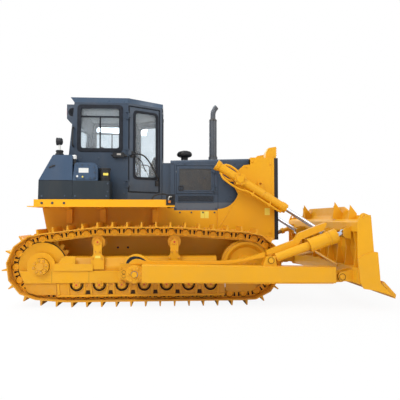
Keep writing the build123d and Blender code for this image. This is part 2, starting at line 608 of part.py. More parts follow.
tank_side = [(TANK_REAR[0], TANK_Z[0]), (TANK_REAR[1], TANK_Z[1], 30), (TANK_REAR[2], TANK_Z[2], 30),
             (TANK_FRONT, TANK_Z[2], 20), (TANK_FRONT, TANK_Z[0])]
tank = plate_xz(tank_side, -TANK_HALF, TANK_HALF)
tank -= plate_xz([(cab_rear_at(TANK_Z[0]) - CAB_CLEAR, TANK_Z[0] - 1),
                  (cab_rear_at(TANK_Z[2]) - CAB_CLEAR, TANK_Z[2] + 1),
                  (TANK_FRONT + 10, TANK_Z[2] + 1), (TANK_FRONT + 10, TANK_Z[0] - 1)],
                 -CAB_HALF - CAB_CLEAR, CAB_HALF + CAB_CLEAR)
nodes["fuel_tank"] = tank

SKIRT_FRONT = -1275.0
HYDRAULIC_X = (TANK_FRONT + 4, -1452.0)
HYDRAULIC_TOP = 2136.0
SHELF_Z = 1862.0
tank_inner = CAB_HALF + CAB_CLEAR
hydraulic = plate_xz([(HYDRAULIC_X[0], PLATFORM_Z), (SKIRT_FRONT, PLATFORM_Z), (SKIRT_FRONT, SHELF_Z),
                      (HYDRAULIC_X[1], SHELF_Z), (HYDRAULIC_X[1], HYDRAULIC_TOP, 90),
                      (HYDRAULIC_X[0] + 30, HYDRAULIC_TOP, 40), (HYDRAULIC_X[0], SHELF_Z)],
                     -TANK_HALF, -tank_inner)
FILTER_PLACE = (-1362.0, -1040.0)
FILTER_R = (82.0, 92.0)       # of its can and of its lid
FILTER_Z = (2040.0, 2064.0)
filter_body = disc_z(*FILTER_PLACE, FILTER_R[0], SHELF_Z, FILTER_Z[0])
filter_body += disc_z(*FILTER_PLACE, FILTER_R[1], *FILTER_Z)
nodes["hydraulic_tank"] = hydraulic + filter_body
battery = plate_xz([(HYDRAULIC_X[0], PLATFORM_Z), (SKIRT_FRONT, PLATFORM_Z), (SKIRT_FRONT, SHELF_Z + 60, 40),
                    (HYDRAULIC_X[0], SHELF_Z + 60)], tank_inner, TANK_HALF)
nodes["battery_box"] = battery

LAMP_FOOT = (-2045.0, -1050.0)   # x, y of the rear work lamp
LAMP_Z = 2470.0
LAMP_R = 57.0
LAMP_HALF = 43.0
rear_lamp = disc_x(LAMP_FOOT[1], LAMP_Z, LAMP_R, LAMP_FOOT[0] - LAMP_HALF, LAMP_FOOT[0] + LAMP_HALF)
rear_lamp = fillet(rear_lamp.edges().group_by(Axis.X)[-1], 30)
for radius, top in ((16, LAMP_Z - 40), (40, TANK_Z[2] + 86), (LAMP_R, TANK_Z[2] + 32)):
    rear_lamp += disc_z(*LAMP_FOOT, radius, TANK_Z[2], top)


# ================================================================ cab
def cab_plan(rear_x, inset=0.0):
    """The cab's six-sided plan, moved in by inset."""
    nx, ny = CAB_FRONT_HALF - CAB_HALF, CAB_CORNER_X - CAB_FRONT_X
    length = math.hypot(nx, ny)
    slope = (CAB_FRONT_X - CAB_CORNER_X) / (CAB_HALF - CAB_FRONT_HALF)
    shift = inset * length / abs(nx)
    half = CAB_HALF - inset
    front = CAB_FRONT_X - inset
    corner = CAB_CORNER_X + slope * inset - shift
    front_half = half - (front - corner) / slope
    left = [(rear_x + inset, half), (corner, half), (front, front_half)]
    return left + [(x, -y) for x, y in reversed(left)]


def cab_body(inset, z0, z1):
    sections = [Pos(0, 0, z) * outline(cab_plan(cab_rear_at(z), inset)) for z in (z0, z1)]
    return loft(sections, ruled=True)


def corner_plane():
    """Left corner wall: X along the wall from its rear edge, Y up, Z inward from the outer face."""
    along_wall = Vector(CAB_FRONT_X - CAB_CORNER_X, CAB_FRONT_HALF - CAB_HALF, 0).normalized()
    inward = along_wall.cross(Vector(0, 0, 1))
    return Plane(origin=(CAB_CORNER_X, CAB_HALF, 0), x_dir=along_wall, z_dir=inward)


CORNER_LENGTH = math.hypot(CAB_FRONT_X - CAB_CORNER_X, CAB_HALF - CAB_FRONT_HALF)
DOOR_S = (22.0, CORNER_LENGTH - 62.0)   # along the corner wall
DOOR_SWING_GAP = 10.0         # at the door's free edge, whose inner corner swings wide
HINGE_PIN_R = 8.0
HINGE_KNUCKLE_R = 14.0
HINGE_OUT = 20.0              # from the cab's corner out to the hinge axis
HINGE_ZS = (1850.0, 2350.0, 2950.0)
HINGE_HEIGHT = 60.0
DOOR_Z = (1727.0, 3098.0)
DOOR_GLASS_S = (112.0, CORNER_LENGTH - 104.0)
DOOR_GLASS_Z = (1948.0, 3028.0)
SIDE_WINDOW_X = (-1822.0, -1134.0)
SIDE_WINDOW_Z = (2370.0, 3098.0)
WINDSHIELD_Z = (2330.0, 3060.0)
WINDSHIELD_HALF = 385.0
REAR_WINDOW_Z = (2330.0, 2860.0)
REAR_WINDOW_HALF = 560.0
GLASS_THICK = 8.0
WINDOW_R = 60.0


def on_corner(points, depth0, depth1):
    """An outline on the left corner wall, from one depth to another inward of its outer face."""
    return corner_plane() * (Pos(0, 0, depth0) * extrude(outline(points), amount=depth1 - depth0))


def make_cab_shell():
    shell = cab_body(0, CAB_FLOOR, CAB_TOP)
    shell -= cab_body(CAB_WALL, CAB_FLOOR + 40, CAB_TOP + 1)
    shell -= plate_xz(rectangle(SIDE_WINDOW_X, SIDE_WINDOW_Z, WINDOW_R), -CAB_HALF - 1, CAB_HALF + 1)
    shell -= plate_yz(rectangle((-WINDSHIELD_HALF, WINDSHIELD_HALF), WINDSHIELD_Z, WINDOW_R),
                      CAB_FRONT_X - CAB_WALL - 1, CAB_FRONT_X + 1)
    shell -= plate_yz(rectangle((-REAR_WINDOW_HALF, REAR_WINDOW_HALF), REAR_WINDOW_Z, WINDOW_R),
                      CAB_REAR_X[0] - 1, CAB_REAR_X[1] + CAB_WALL + 60)
    opening = on_corner(rectangle(DOOR_S, DOOR_Z), -1, CAB_WALL + 40)
    shell -= opening
    shell -= mirrored(opening)
    return shell


ROOF_X = (-1942.0, -484.0)
ROOF_EAVE = 26.0              # how far the roof stands out past the cab's sides
ROOF_SEAT = 2.0               # the roof's underside reaches this far past the cab's walls
roof_top = [(ROOF_X[0], CAB_HALF + ROOF_EAVE), (CAB_CORNER_X + 10, CAB_HALF + ROOF_EAVE),
            (ROOF_X[1], CAB_FRONT_HALF - ROOF_EAVE)]
roof_top += [(x, -y) for x, y in reversed(roof_top)]
nodes["cab_roof"] = loft([Pos(0, 0, CAB_TOP) * outline(cab_plan(cab_rear_at(CAB_TOP), -ROOF_SEAT)),
                          Pos(0, 0, CAB_TOP + ROOF_THICK) * outline(roof_top)], ruled=True)

beacon = disc_z(-1450, 0, 50, CAB_TOP + ROOF_THICK, CAB_TOP + ROOF_THICK + 150)
nodes["roof_beacon"] = beacon

GLASS_DEPTH = 30.0            # from a wall's outer face in to its pane
REAR_GLASS_DEPTH = 28.0
glass = [plate_xz(rectangle(SIDE_WINDOW_X, SIDE_WINDOW_Z, WINDOW_R),
                  *span(side * (CAB_HALF - GLASS_DEPTH), side * GLASS_THICK)) for side in (-1, 1)]
glass.append(plate_yz(rectangle((-WINDSHIELD_HALF, WINDSHIELD_HALF), WINDSHIELD_Z, WINDOW_R),
                      *span(CAB_FRONT_X - GLASS_DEPTH, GLASS_THICK)))
rear_glass = cab_body(REAR_GLASS_DEPTH, *REAR_WINDOW_Z) - cab_body(
    REAR_GLASS_DEPTH + GLASS_THICK, REAR_WINDOW_Z[0] - 1, REAR_WINDOW_Z[1] + 1)
glass.append(rear_glass & plate_yz(rectangle((-REAR_WINDOW_HALF, REAR_WINDOW_HALF), REAR_WINDOW_Z, WINDOW_R),
                                   CAB_REAR_X[0], CAB_REAR_X[1] + CAB_WALL + 60))
nodes["cab_glass"] = group(glass)


def hinge_place():
    """Plan position of the left door's hinge axis, outside the corner of the two walls."""
    side_normal = Vector(0, 1, 0)
    wall_normal = -corner_plane().z_dir
    out = (side_normal + wall_normal).normalized() * HINGE_OUT
    return CAB_CORNER_X + out.X, CAB_HALF + out.Y


def hinge_pins():
    """Pins with a foot on the side wall at both ends, for the left door."""
    x, y = hinge_place()
    pins = Part()
    for z in HINGE_ZS:
        pins += disc_z(x, y, HINGE_PIN_R, z - HINGE_HEIGHT, z + HINGE_HEIGHT)
        for end in (z - HINGE_HEIGHT, z + HINGE_HEIGHT - 20):
            pins += disc_z(x, y, HINGE_KNUCKLE_R, end, end + 20)
            pins += block((x - 40, x), (CAB_HALF - 1, y + HINGE_KNUCKLE_R), (end, end + 20))
    return pins


def make_door():
    low, high = DOOR_S[0] + DOOR_GAP, DOOR_S[1] - DOOR_SWING_GAP
    door = on_corner(rectangle((low, high), (DOOR_Z[0] + DOOR_GAP, DOOR_Z[1] - DOOR_GAP)), 0, CAB_WALL)
    x, y = hinge_place()
    for z in HINGE_ZS:
        half = HINGE_HEIGHT - 24
        strap, foot = (-HINGE_OUT / 4, low + 20), (low + 12, low + 20)
        door += disc_z(x, y, HINGE_KNUCKLE_R, z - half, z + half)
        door += on_corner(rectangle(strap, (z - half, z + half)), -HINGE_OUT - 4, -HINGE_OUT + 4)
        door += on_corner(rectangle(foot, (z - half, z + half)), -HINGE_OUT - 4, 1)
        door -= disc_z(x, y, HINGE_PIN_R + RUN_GAP, z - HINGE_HEIGHT, z + HINGE_HEIGHT)
    door -= on_corner(rectangle(DOOR_GLASS_S, DOOR_GLASS_Z, WINDOW_R), -1, CAB_WALL + 1)
    pane = on_corner(rectangle(DOOR_GLASS_S, DOOR_GLASS_Z, WINDOW_R), 22, 22 + GLASS_THICK)
    return door, pane


pins = hinge_pins()
nodes["cab_shell"] = make_cab_shell() + pins + mirrored(pins)
door, pane = make_door()
both("cab_door", door)
both("cab_door_glass", pane)

inside_floor = CAB_FLOOR + 40
seat = block((-1480, -1000), (-260, 260), (inside_floor, 1900))
seat += plate_xz([(-1560, 1880), (-1400, 1880), (-1520, 2560, 60), (-1660, 2560, 60)], -240, 240)
seat += block((-1500, -980), (-290, 290), (1880, 2040))
nodes["operator_seat"] = seat
CONSOLE_HALF = 360.0
ARMREST_X = (-1420.0, -900.0)
ARMREST_Y = (330.0, 470.0)
ARMREST_TOP = 2060.0
console = plate_xz([(-720, inside_floor), (-560, inside_floor), (-560, 2330), (-640, 2330), (-720, 2150)],
                   -CONSOLE_HALF, CONSOLE_HALF)
armrest = block(ARMREST_X, ARMREST_Y, (inside_floor, ARMREST_TOP))
nodes["operator_controls"] = group([console, armrest + mirrored(armrest)])

AIR_BOX_Z = (2890.0, 2960.0, 3140.0, 3200.0)   # foot, end of its bevel, under the roof's edge, top
AIR_BOX_X = (-2082.0, -2020.0)
AIR_BOX_HALF = 420.0
box_front = ROOF_X[0] - 4
foot, bevel, eave, top = AIR_BOX_Z
nodes["rear_air_box"] = plate_xz(
    [(AIR_BOX_X[0], bevel), (AIR_BOX_X[0], top), (box_front, top), (box_front, eave), (cab_rear_at(eave), eave),
     (cab_rear_at(foot), foot), (AIR_BOX_X[1], foot)], -AIR_BOX_HALF, AIR_BOX_HALF)


# ================================================================ hood and radiator guard
def hood_top_at(x):
    share = (x - HOOD_X[0]) / (HOOD_X[1] - HOOD_X[0])
    return HOOD_TOP[0] + (HOOD_TOP[1] - HOOD_TOP[0]) * share


HOOD_EDGE_Z = 2200.0          # where the hood meets its side walls
EXHAUST_X = 404.0
PRECLEANER_X = -106.0
STACK_NECK_R = 64.0
CLEANER_NECK_R = 60.0
NECK_CLEAR = 6.0              # the hole round a neck


def soften(shape, half, radius):
    """Round the long upper edges at y = +-half."""
    upper = [e for e in shape.edges()
             if abs(abs(e.center().Y) - half) < 1 and e.center().Z > HOOD_EDGE_Z + 40 and e.length > 500]
    return fillet(upper, radius)


def make_hood():
    side = [(HOOD_X[0], HOOD_EDGE_Z), (HOOD_X[1], HOOD_EDGE_Z),
            (HOOD_X[1], HOOD_TOP[1]), (HOOD_X[0], HOOD_TOP[0])]
    inner = [(HOOD_X[0] - 1, HOOD_EDGE_Z - 10), (HOOD_X[1] + 1, HOOD_EDGE_Z - 10),
             (HOOD_X[1] + 1, HOOD_TOP[1] - HOOD_PLATE), (HOOD_X[0] - 1, HOOD_TOP[0] - HOOD_PLATE)]
    room_half = HOOD_HALF - HOOD_PLATE
    hood = soften(plate_xz(side, -HOOD_HALF, HOOD_HALF), HOOD_HALF, 46)
    hood -= soften(plate_xz(inner, -room_half, room_half), room_half, 32)
    for x, radius in ((EXHAUST_X, STACK_NECK_R), (PRECLEANER_X, CLEANER_NECK_R)):
        hood -= disc_z(x, 0, radius + NECK_CLEAR, HOOD_EDGE_Z, HOOD_EDGE_Z + 200)
    return hood


nodes["engine_hood"] = make_hood()

HOOD_WALL = 20.0
LOUVRE_DEPTH = 6.0
inner_face = HOOD_HALF - HOOD_WALL
wall = plate_xz(rectangle(HOOD_X, (PANEL_TOP, HOOD_EDGE_Z)), inner_face, HOOD_HALF)
wall -= plate_xz(rectangle(ENGINE_DOOR_X, ENGINE_DOOR_Z, grow=DOOR_GAP), inner_face - 1, HOOD_HALF + 1)
wall -= plate_xz(rectangle((ENGINE_DOOR_X[0] + 30, ENGINE_DOOR_X[1] - 10), LOUVRE_Z),
                 HOOD_HALF - LOUVRE_DEPTH, HOOD_HALF + 1)
wall += block(HOOD_X, (inner_face, HULL_HALF - 24), (PANEL_TOP - 20, PANEL_TOP))
PANEL_HINGE = (ENGINE_DOOR_X[1] + DOOR_GAP / 2, HOOD_HALF + 14)   # x, y
PANEL_PIN_R = 5.0
PANEL_KNUCKLE_R = 9.0
PANEL_HINGE_ZS = (1790.0, 2100.0)
PANEL_PIN_HALF = 50.0
PANEL_FOOT = 14.0             # height of a pin's two feet
PANEL_KNUCKLE_HALF = 33.0
hinge_x, hinge_y = PANEL_HINGE
for z in PANEL_HINGE_ZS:
    wall += disc_z(*PANEL_HINGE, PANEL_PIN_R, z - PANEL_PIN_HALF, z + PANEL_PIN_HALF)
    for end in (z - PANEL_PIN_HALF, z + PANEL_PIN_HALF - PANEL_FOOT):
        wall += disc_z(*PANEL_HINGE, PANEL_KNUCKLE_R, end, end + PANEL_FOOT)
        wall += block((hinge_x, hinge_x + 30), (HOOD_HALF - 1, hinge_y + PANEL_KNUCKLE_R),
                      (end, end + PANEL_FOOT))
pair("hood_sides", wall)

panel = plate_xz(rectangle(ENGINE_DOOR_X, ENGINE_DOOR_Z), inner_face, HOOD_HALF)
panel -= plate_xz(rectangle(ENGINE_DOOR_X, ENGINE_DOOR_Z, grow=-46), HOOD_HALF - 5, HOOD_HALF + 1)
panel += block(span(ENGINE_DOOR_X[0] + 40, 80), (HOOD_HALF - 6, HOOD_HALF), span(ENGINE_DOOR_Z[0] + 60, 70))
for z in PANEL_HINGE_ZS:
    tall = (z - PANEL_KNUCKLE_HALF, z + PANEL_KNUCKLE_HALF)
    panel += disc_z(*PANEL_HINGE, PANEL_KNUCKLE_R, *tall)
    panel += block((hinge_x - 40, hinge_x), (hinge_y - 3, hinge_y + 3), tall)
    panel += block((hinge_x - 40, hinge_x - 34), (HOOD_HALF - 8, hinge_y + 3), tall)
    panel -= disc_z(*PANEL_HINGE, PANEL_PIN_R + RUN_GAP, z - PANEL_PIN_HALF, z + PANEL_PIN_HALF)
both("engine_door", panel)

COWL_TOP = 2225.0
COWL_PLATE = 30.0
cowl = plate_xz(rectangle((COWL_X, HOOD_X[0]), (PLATFORM_Z, COWL_TOP)), -COWL_HALF, COWL_HALF)
cowl -= block((COWL_X - 1, HOOD_X[0] + 1), (COWL_PLATE - COWL_HALF, COWL_HALF - COWL_PLATE),
              (PLATFORM_Z - 1, COWL_TOP - COWL_PLATE))
nodes["cowl"] = cowl

CLEANER_Z = (2390.0, 2460.0, 2500.0)   # foot of its bowl, of its lid, top
CLEANER_R = (135.0, 105.0)
cleaner = disc_z(PRECLEANER_X, 0, CLEANER_NECK_R, ENGINE_TOP, CLEANER_Z[0] + 5)
for radius, z0, z1 in zip(CLEANER_R, CLEANER_Z, CLEANER_Z[1:]):
    cleaner += disc_z(PRECLEANER_X, 0, radius, z0, z1)
nodes["precleaner"] = cleaner

STACK_Z = (2310.0, 2392.0, 3066.0, 3150.0)   # base, muffler, tail and bend
STACK_R = (81.0, 68.0, 47.0)
BEND_R = 200.0
BEND_ANGLE = 48.0
stack = disc_z(EXHAUST_X, 0, STACK_NECK_R, ENGINE_TOP, STACK_Z[0] + 1)
for radius, z0, z1 in zip(STACK_R, STACK_Z, STACK_Z[1:]):
    stack += disc_z(EXHAUST_X, 0, radius, z0, z1)
elbow = revolve(Pos(-BEND_R, 0) * Circle(STACK_R[2]), axis=Axis.Y, revolution_arc=BEND_ANGLE)
nodes["exhaust_stack"] = stack + Pos(EXHAUST_X + BEND_R, 0, STACK_Z[3]) * elbow

ARCH_TOP = 1700.0             # where the arch over the hull meets the guard's upper part
ARC_CENTRE = (430.0, 1800.0)
ARC_R = 346.0
GUARD_REAR = 424.0
arch_end = ARC_CENTRE[0] + math.sqrt(ARC_R ** 2 - (ARC_CENTRE[1] - ARCH_TOP) ** 2)
guard_side = [(HOOD_X[1] + 3, GUARD_TOP), (HOOD_X[1] + 3, 2192), (860, 2182), (690, 2030), (690, 1830),
              (arch_end, ARCH_TOP), (GUARD_FRONT, ARCH_TOP), (GUARD_FRONT, GUARD_TOP)]
guard = plate_xz(guard_side, GUARD_HALF - GUARD_SIDE, GUARD_HALF) + plate_xz(
    [(GUARD_REAR, RAIL_Z[1]), (600, GUARD_FOOT), (GUARD_FRONT, GUARD_FOOT), (GUARD_FRONT, ARCH_TOP),
     (GUARD_REAR, ARCH_TOP)], GUARD_HALF - GUARD_SIDE, GUARD_HALF)
guard -= disc_y(*ARC_CENTRE, ARC_R, GUARD_HALF - GUARD_SIDE - 1, GUARD_HALF + 1) & block(
    (0, GUARD_FRONT), (0, GUARD_HALF + 1), (0, ARCH_TOP))
guard += mirrored(guard)
guard += block((HOOD_X[1] + 3, GUARD_FRONT), (-GUARD_HALF, GUARD_HALF), (GUARD_TOP - 20, GUARD_TOP))
for z0, z1 in ((GUARD_FOOT, GUARD_FOOT + 70), (GUARD_TOP - 60, GUARD_TOP)):
    guard += block((GUARD_FRONT - 40, GUARD_FRONT), (-GUARD_HALF, GUARD_HALF), (z0, z1))
LIFT_PAD = 24.0               # thickness of the pad a lift cylinder hangs on
for side in (-1, 1):
    guard += disc_y(*LIFT_PIVOT, 78, *span(side * GUARD_HALF, side * LIFT_PAD))
nodes["radiator_guard"] = guard

GRILLE_HALF = GUARD_HALF - 8
GRILLE_Z = (GUARD_FOOT + 6, GUARD_TOP - 6)
GRILLE_RIM = 60.0
BAR_COUNT = 12
BAR_HALF = 9.0
hole_half = GRILLE_HALF - GRILLE_RIM
hole_low, hole_high = GRILLE_Z[0] + GRILLE_RIM, GRILLE_Z[1] - GRILLE_RIM
grille = block(span(GUARD_FRONT, GRILLE_DEPTH), (-GRILLE_HALF, GRILLE_HALF), GRILLE_Z)
grille -= block((GUARD_FRONT - 1, GUARD_FRONT + GRILLE_DEPTH + 1), (-hole_half, hole_half),
                (hole_low, hole_high))
for i in range(BAR_COUNT):
    z = hole_low + (hole_high - hole_low) * (i + 0.5) / BAR_COUNT
    grille += block((GUARD_FRONT + 12, GUARD_FRONT + 30), (-hole_half - 1, hole_half + 1),
                    (z - BAR_HALF, z + BAR_HALF))
nodes["front_grille"] = grille
CORE_X = (1180.0, GUARD_FRONT - 50)
core_half = GUARD_HALF - GUARD_SIDE
nodes["radiator_core"] = block(CORE_X, (-core_half, core_half), (GUARD_FOOT + 60, GUARD_TOP - 20))

HEAD_LAMP_Y = 490.0
HEAD_LAMP_HALF = 75.0         # half the width of its guard
HEAD_LAMP_TOP = 2504.0
HEAD_LAMP_PLATE = 16.0
HEAD_LAMP_X = (1235.0, 1418.0)
HEAD_LAMP_Z = 2396.0
HEAD_LAMP_FALL = 22.0         # its roof falls this much to the rear
HEAD_LAMP_ROOM = 75.0         # from the guard's rear to the room inside
guards = []
for y in (-HEAD_LAMP_Y, HEAD_LAMP_Y):
    shade = plate_xz([(HEAD_LAMP_X[0], GUARD_TOP), (HEAD_LAMP_X[1], GUARD_TOP),
                      (HEAD_LAMP_X[1], HEAD_LAMP_TOP), (HEAD_LAMP_X[0] + 55, HEAD_LAMP_TOP - HEAD_LAMP_FALL),
                      (HEAD_LAMP_X[0] + 12, HEAD_LAMP_TOP - 93)], y - HEAD_LAMP_HALF, y + HEAD_LAMP_HALF)
    inner = HEAD_LAMP_HALF - HEAD_LAMP_PLATE
    shade -= block((HEAD_LAMP_X[0] + HEAD_LAMP_ROOM, HEAD_LAMP_X[1] + 1), (y - inner, y + inner),
                   (GUARD_TOP + HEAD_LAMP_PLATE, HEAD_LAMP_TOP - HEAD_LAMP_FALL - HEAD_LAMP_PLATE))
    guards.append(shade)
nodes["headlamp_guards"] = group(guards)
head_lamps = [disc_x(y, HEAD_LAMP_Z, HEAD_LAMP_HALF - HEAD_LAMP_PLATE - 4, HEAD_LAMP_X[0] + HEAD_LAMP_ROOM,
                     HEAD_LAMP_X[1] - 20) for y in (-HEAD_LAMP_Y, HEAD_LAMP_Y)]
nodes["work_lamps"] = group(head_lamps + [rear_lamp])


# ================================================================ push arms
BRACKET_X = (-250.0, 90.0)    # from the trunnion's axis
TRUNNION_Z = (392.0, 628.0)   # lower and upper edge of the bracket
TRUNNION_PLATE = 60.0
EYE_R = 128.0                 # of the arm's rear end
EYE_HALF = 58.0


def make_trunnion():
    """The pin and bracket on the track frame, and the ball that the arm's eye turns on."""
    x, z = TRUNNION
    pin = disc_y(x, z, TRUNNION_PIN_R, FRAME_OUTER, ARM_OUTER - 4)
    pin += plate_xz(rectangle((x + BRACKET_X[0], x + BRACKET_X[1]), TRUNNION_Z, 40),
                    *span(FRAME_OUTER, TRUNNION_PLATE))
    pin += disc_y(x, z, 100, FRAME_OUTER + TRUNNION_PLATE, ARM_OUTER - ARM_WIDTH - 24)
    return pin


pair("trunnion_brackets", make_trunnion())
ball = Pos(TRUNNION[0], ARM_Y, TRUNNION[1]) * Sphere(TRUNNION_BALL_R)
ball -= disc_y(*TRUNNION, TRUNNION_PIN_R + RUN_GAP, ARM_Y - 100, ARM_Y + 100)
ball &= block(span(TRUNNION[0] - 100, 200), (ARM_Y - EYE_HALF - 2, ARM_Y + EYE_HALF + 2),
              span(TRUNNION[1] - 100, 200))
nodes["trunnion_balls"] = group([ball, mirrored(ball)])

STRUT_LENGTH = distance(STRUT_FOOT, STRUT_HEAD)
STRUT_EYE_R = 62.0
STRUT_TUBE_R = 64.0
STRUT_EYE_HALF = 36.0
STRUT_HEAD_HALF = 30.0
STRUT_HEAD_R = 58.0
STRUT_TUBE_START = 95.0       # along the strut, clear of the lugs
FOOT_PIN_R = 28.0
FOOT_BALL_R = 42.0
FOOT_BALL_HALF = 30.0
HEAD_BALL_R = 38.0
HEAD_BALL_HALF = 24.0
BLADE_BALL_R = 56.0
BLADE_BALL_HALF = 44.0
# How far (x, z) each ball moves in its eye when the blade is tilted either way.
BLADE_DRIFT = {"left": (0.0, 0.0), "right": (6.9, -0.1)}
HEAD_DRIFT = {"left": (1.3, -2.3), "right": (7.8, -4.0)}
DRIFT_CLEAR = 0.5             # left round a ball wherever it is
ROD_CLEAR = 1.0
HEAD_PIN_R = 26.0
STRUT_LUG_GAP = 42.0          # from the arm's centre line to a lug's inner face
STRUT_LUG = 30.0
TONGUE_HALF = 50.0


def drift_bore(place, y, ball_r, drift):
    """The hole of an eye that lets its ball drift without touching."""
    radius = ball_r + math.hypot(*drift) / 2 + DRIFT_CLEAR
    return disc_y(place[0] + drift[0] / 2, place[1] + drift[1] / 2, radius, y - 60, y + 60)


ARM_TAPER = 15.0              # lost above and below at the front end
TONGUE_R = 82.0
PIN_STUB = 12.0               # how far a lug's pin stands out


def make_push_arm(side):
    half = ARM_HEIGHT / 2
    beam = plate_xz([(ARM_X[0], ARM_Z[0] - half), (ARM_X[1], ARM_Z[1] - half + ARM_TAPER),
                     (ARM_X[1], ARM_Z[1] + half - ARM_TAPER), (ARM_X[0], ARM_Z[0] + half)],
                    ARM_Y - ARM_WIDTH / 2, ARM_OUTER)
    beam = chamfer(beam.edges().filter_by(lambda e: e.length > 1000), 14)
    eye = disc_y(*TRUNNION, EYE_R, ARM_Y - EYE_HALF, ARM_Y + EYE_HALF)
    eye += block((TRUNNION[0] + 40, ARM_X[0] + 1), (ARM_Y - EYE_HALF, ARM_Y + EYE_HALF),
                 span(TRUNNION[1] - 100, 200))
    eye -= disc_y(*TRUNNION, TRUNNION_BALL_R + RUN_GAP, ARM_Y - EYE_HALF - 2, ARM_Y + EYE_HALF + 2)
    tongue_y = (ARM_Y - TONGUE_HALF, ARM_Y + TONGUE_HALF)
    tongue = disc_y(*BLADE_PIN, TONGUE_R, *tongue_y)
    tongue += block((ARM_X[1] - 1, BLADE_PIN[0]), tongue_y, (BLADE_PIN[1] - TONGUE_R, BLADE_PIN[1] + TONGUE_R))
    tongue -= drift_bore(BLADE_PIN, ARM_Y, BLADE_BALL_R, BLADE_DRIFT[side])
    arm = beam + eye + tongue
    x, z = STRUT_FOOT
    for way in (-1, 1):
        arm += plate_xz([(x - 130, 590), (x + 90, 590), (x + 62, z + 50, 55), (x - 62, z + 50, 55)],
                        *span(ARM_Y + way * STRUT_LUG_GAP, way * STRUT_LUG))
    arm += ball_on_pin(x, z, ARM_Y, FOOT_BALL_R, FOOT_BALL_HALF)
    pin_half = STRUT_LUG_GAP + STRUT_LUG + PIN_STUB
    arm += disc_y(x, z, FOOT_PIN_R, ARM_Y - pin_half, ARM_Y + pin_half)
    return arm


nodes["push_arm_left"] = make_push_arm("left")
nodes["push_arm_right"] = mirrored(make_push_arm("right"))


def strut_foot(y):
    """The eye on the push arm's pin, and its neck."""
    eye = disc_y(*STRUT_FOOT, STRUT_EYE_R, y - STRUT_EYE_HALF, y + STRUT_EYE_HALF)
    eye += spool(STRUT_FOOT, STRUT_HEAD, y, [(30, STRUT_TUBE_START + 5, STRUT_EYE_HALF - 2)])
    return eye - disc_y(*STRUT_FOOT, FOOT_BALL_R + RUN_GAP, y - 50, y + 50)


def strut_eye(y, side):
    """The eye on the blade's pin. Its bore is wide, since the blade leans as it tilts."""
    eye = disc_y(*STRUT_HEAD, STRUT_HEAD_R, y - STRUT_HEAD_HALF, y + STRUT_HEAD_HALF)
    return eye - drift_bore(STRUT_HEAD, y, HEAD_BALL_R, HEAD_DRIFT[side])


strut_reach = STRUT_LENGTH - STRUT_HEAD_R + 15
left_strut = spool(STRUT_FOOT, STRUT_HEAD, ARM_Y, [(STRUT_TUBE_START, 640, STRUT_TUBE_R), (640, 700, 82),
                                                   (700, 1000, 40), (990, 1050, 60), (1050, strut_reach, 42)])
nodes["left_strut"] = left_strut + strut_foot(ARM_Y) + strut_eye(ARM_Y, "left")

TILT_BARREL_END = 1046.0
TILT_ROD_R = 40.0
tilt_barrel = spool(STRUT_FOOT, STRUT_HEAD, -ARM_Y, [(STRUT_TUBE_START, 610, STRUT_TUBE_R), (610, 940, 98),
                                                     (940, TILT_BARREL_END, 108)])
tilt_barrel -= spool(STRUT_FOOT, STRUT_HEAD, -ARM_Y, [(640, TILT_BARREL_END + 1, TILT_ROD_R + ROD_CLEAR)])
nodes["tilt_barrel"] = tilt_barrel + strut_foot(-ARM_Y)
tilt_rod = spool(STRUT_FOOT, STRUT_HEAD, -ARM_Y, [(800, strut_reach, TILT_ROD_R)])
nodes["tilt_rod"] = tilt_rod + strut_eye(-ARM_Y, "right")

# Channel plates that cover the tilt cylinder's hoses, on the right arm and on the cylinder.
HOSE_Y = (42 - ARM_Y, 132 - ARM_Y)
arm_cover = plate_xz([(-640, 640), (440, 632), (1020, 730), (1020, 800), (719, 712), (429, 680), (-640, 688)],
                     *HOSE_Y)
nodes["arm_hose_guard"] = arm_cover - nodes["push_arm_right"]
cover = plate_xz([(1045, 760), (1500, 870), (1560, 985), (1900, 1120), (1967, 1253, 20), (1535, 1084, 20),
                  (1450, 978), (1045, 826)], *HOSE_Y)
nodes["tilt_hose_guard"] = cover - nodes["tilt_barrel"]


# ================================================================ lift cylinders
LIFT_LENGTH = distance(LIFT_PIVOT, LIFT_EYE)
LIFT_ROD_START = 130.0        # its hidden end in the barrel, with the blade as drawn
LIFT_ROD_R = 34.0
bore = spool(LIFT_PIVOT, LIFT_EYE, LIFT_Y, [(-380, 891, LIFT_ROD_R + ROD_CLEAR)])
barrel = spool(LIFT_PIVOT, LIFT_EYE, LIFT_Y,
               [(-452, -400, 84), (-401, 860, 70), (-30, 60, 82), (859, 890, 76)])
barrel += disc_y(*LIFT_PIVOT, 62, GUARD_HALF + LIFT_PAD, LIFT_Y)
both("lift_barrel", barrel - bore)
lift_rod = spool(LIFT_PIVOT, LIFT_EYE, LIFT_Y, [(LIFT_ROD_START, LIFT_LENGTH - 40, LIFT_ROD_R)])
lift_rod += disc_y(*LIFT_EYE, 58, LIFT_Y - 40, LIFT_Y + 40)
both("lift_rod", lift_rod)


# ================================================================ blade
WEAR_PLATE = 12.0             # the lower part of each side is doubled
RIB_SHARES = (0.11, 0.32, 0.54, 0.725, 0.913)   # of the blade's half width
RIB_HALF = 10.0
BLADE_CHEEKS = (  # outline, and how far its two plates start from their middle plane, and their thickness
    (((2060, 400, 60), (2060, 515, 60), (2263, 560), (2263, 385)), ARM_Y, 86.0, 30.0),
    (((2150, 1030, 50), (2150, 1150, 50), (2263, 1180), (2263, 990)), ARM_Y, 52.0, 24.0),
    (((2100, 1000, 45), (2100, 1100, 45), (2263, 1150), (2263, 950)), LIFT_Y, 108.0, 24.0))


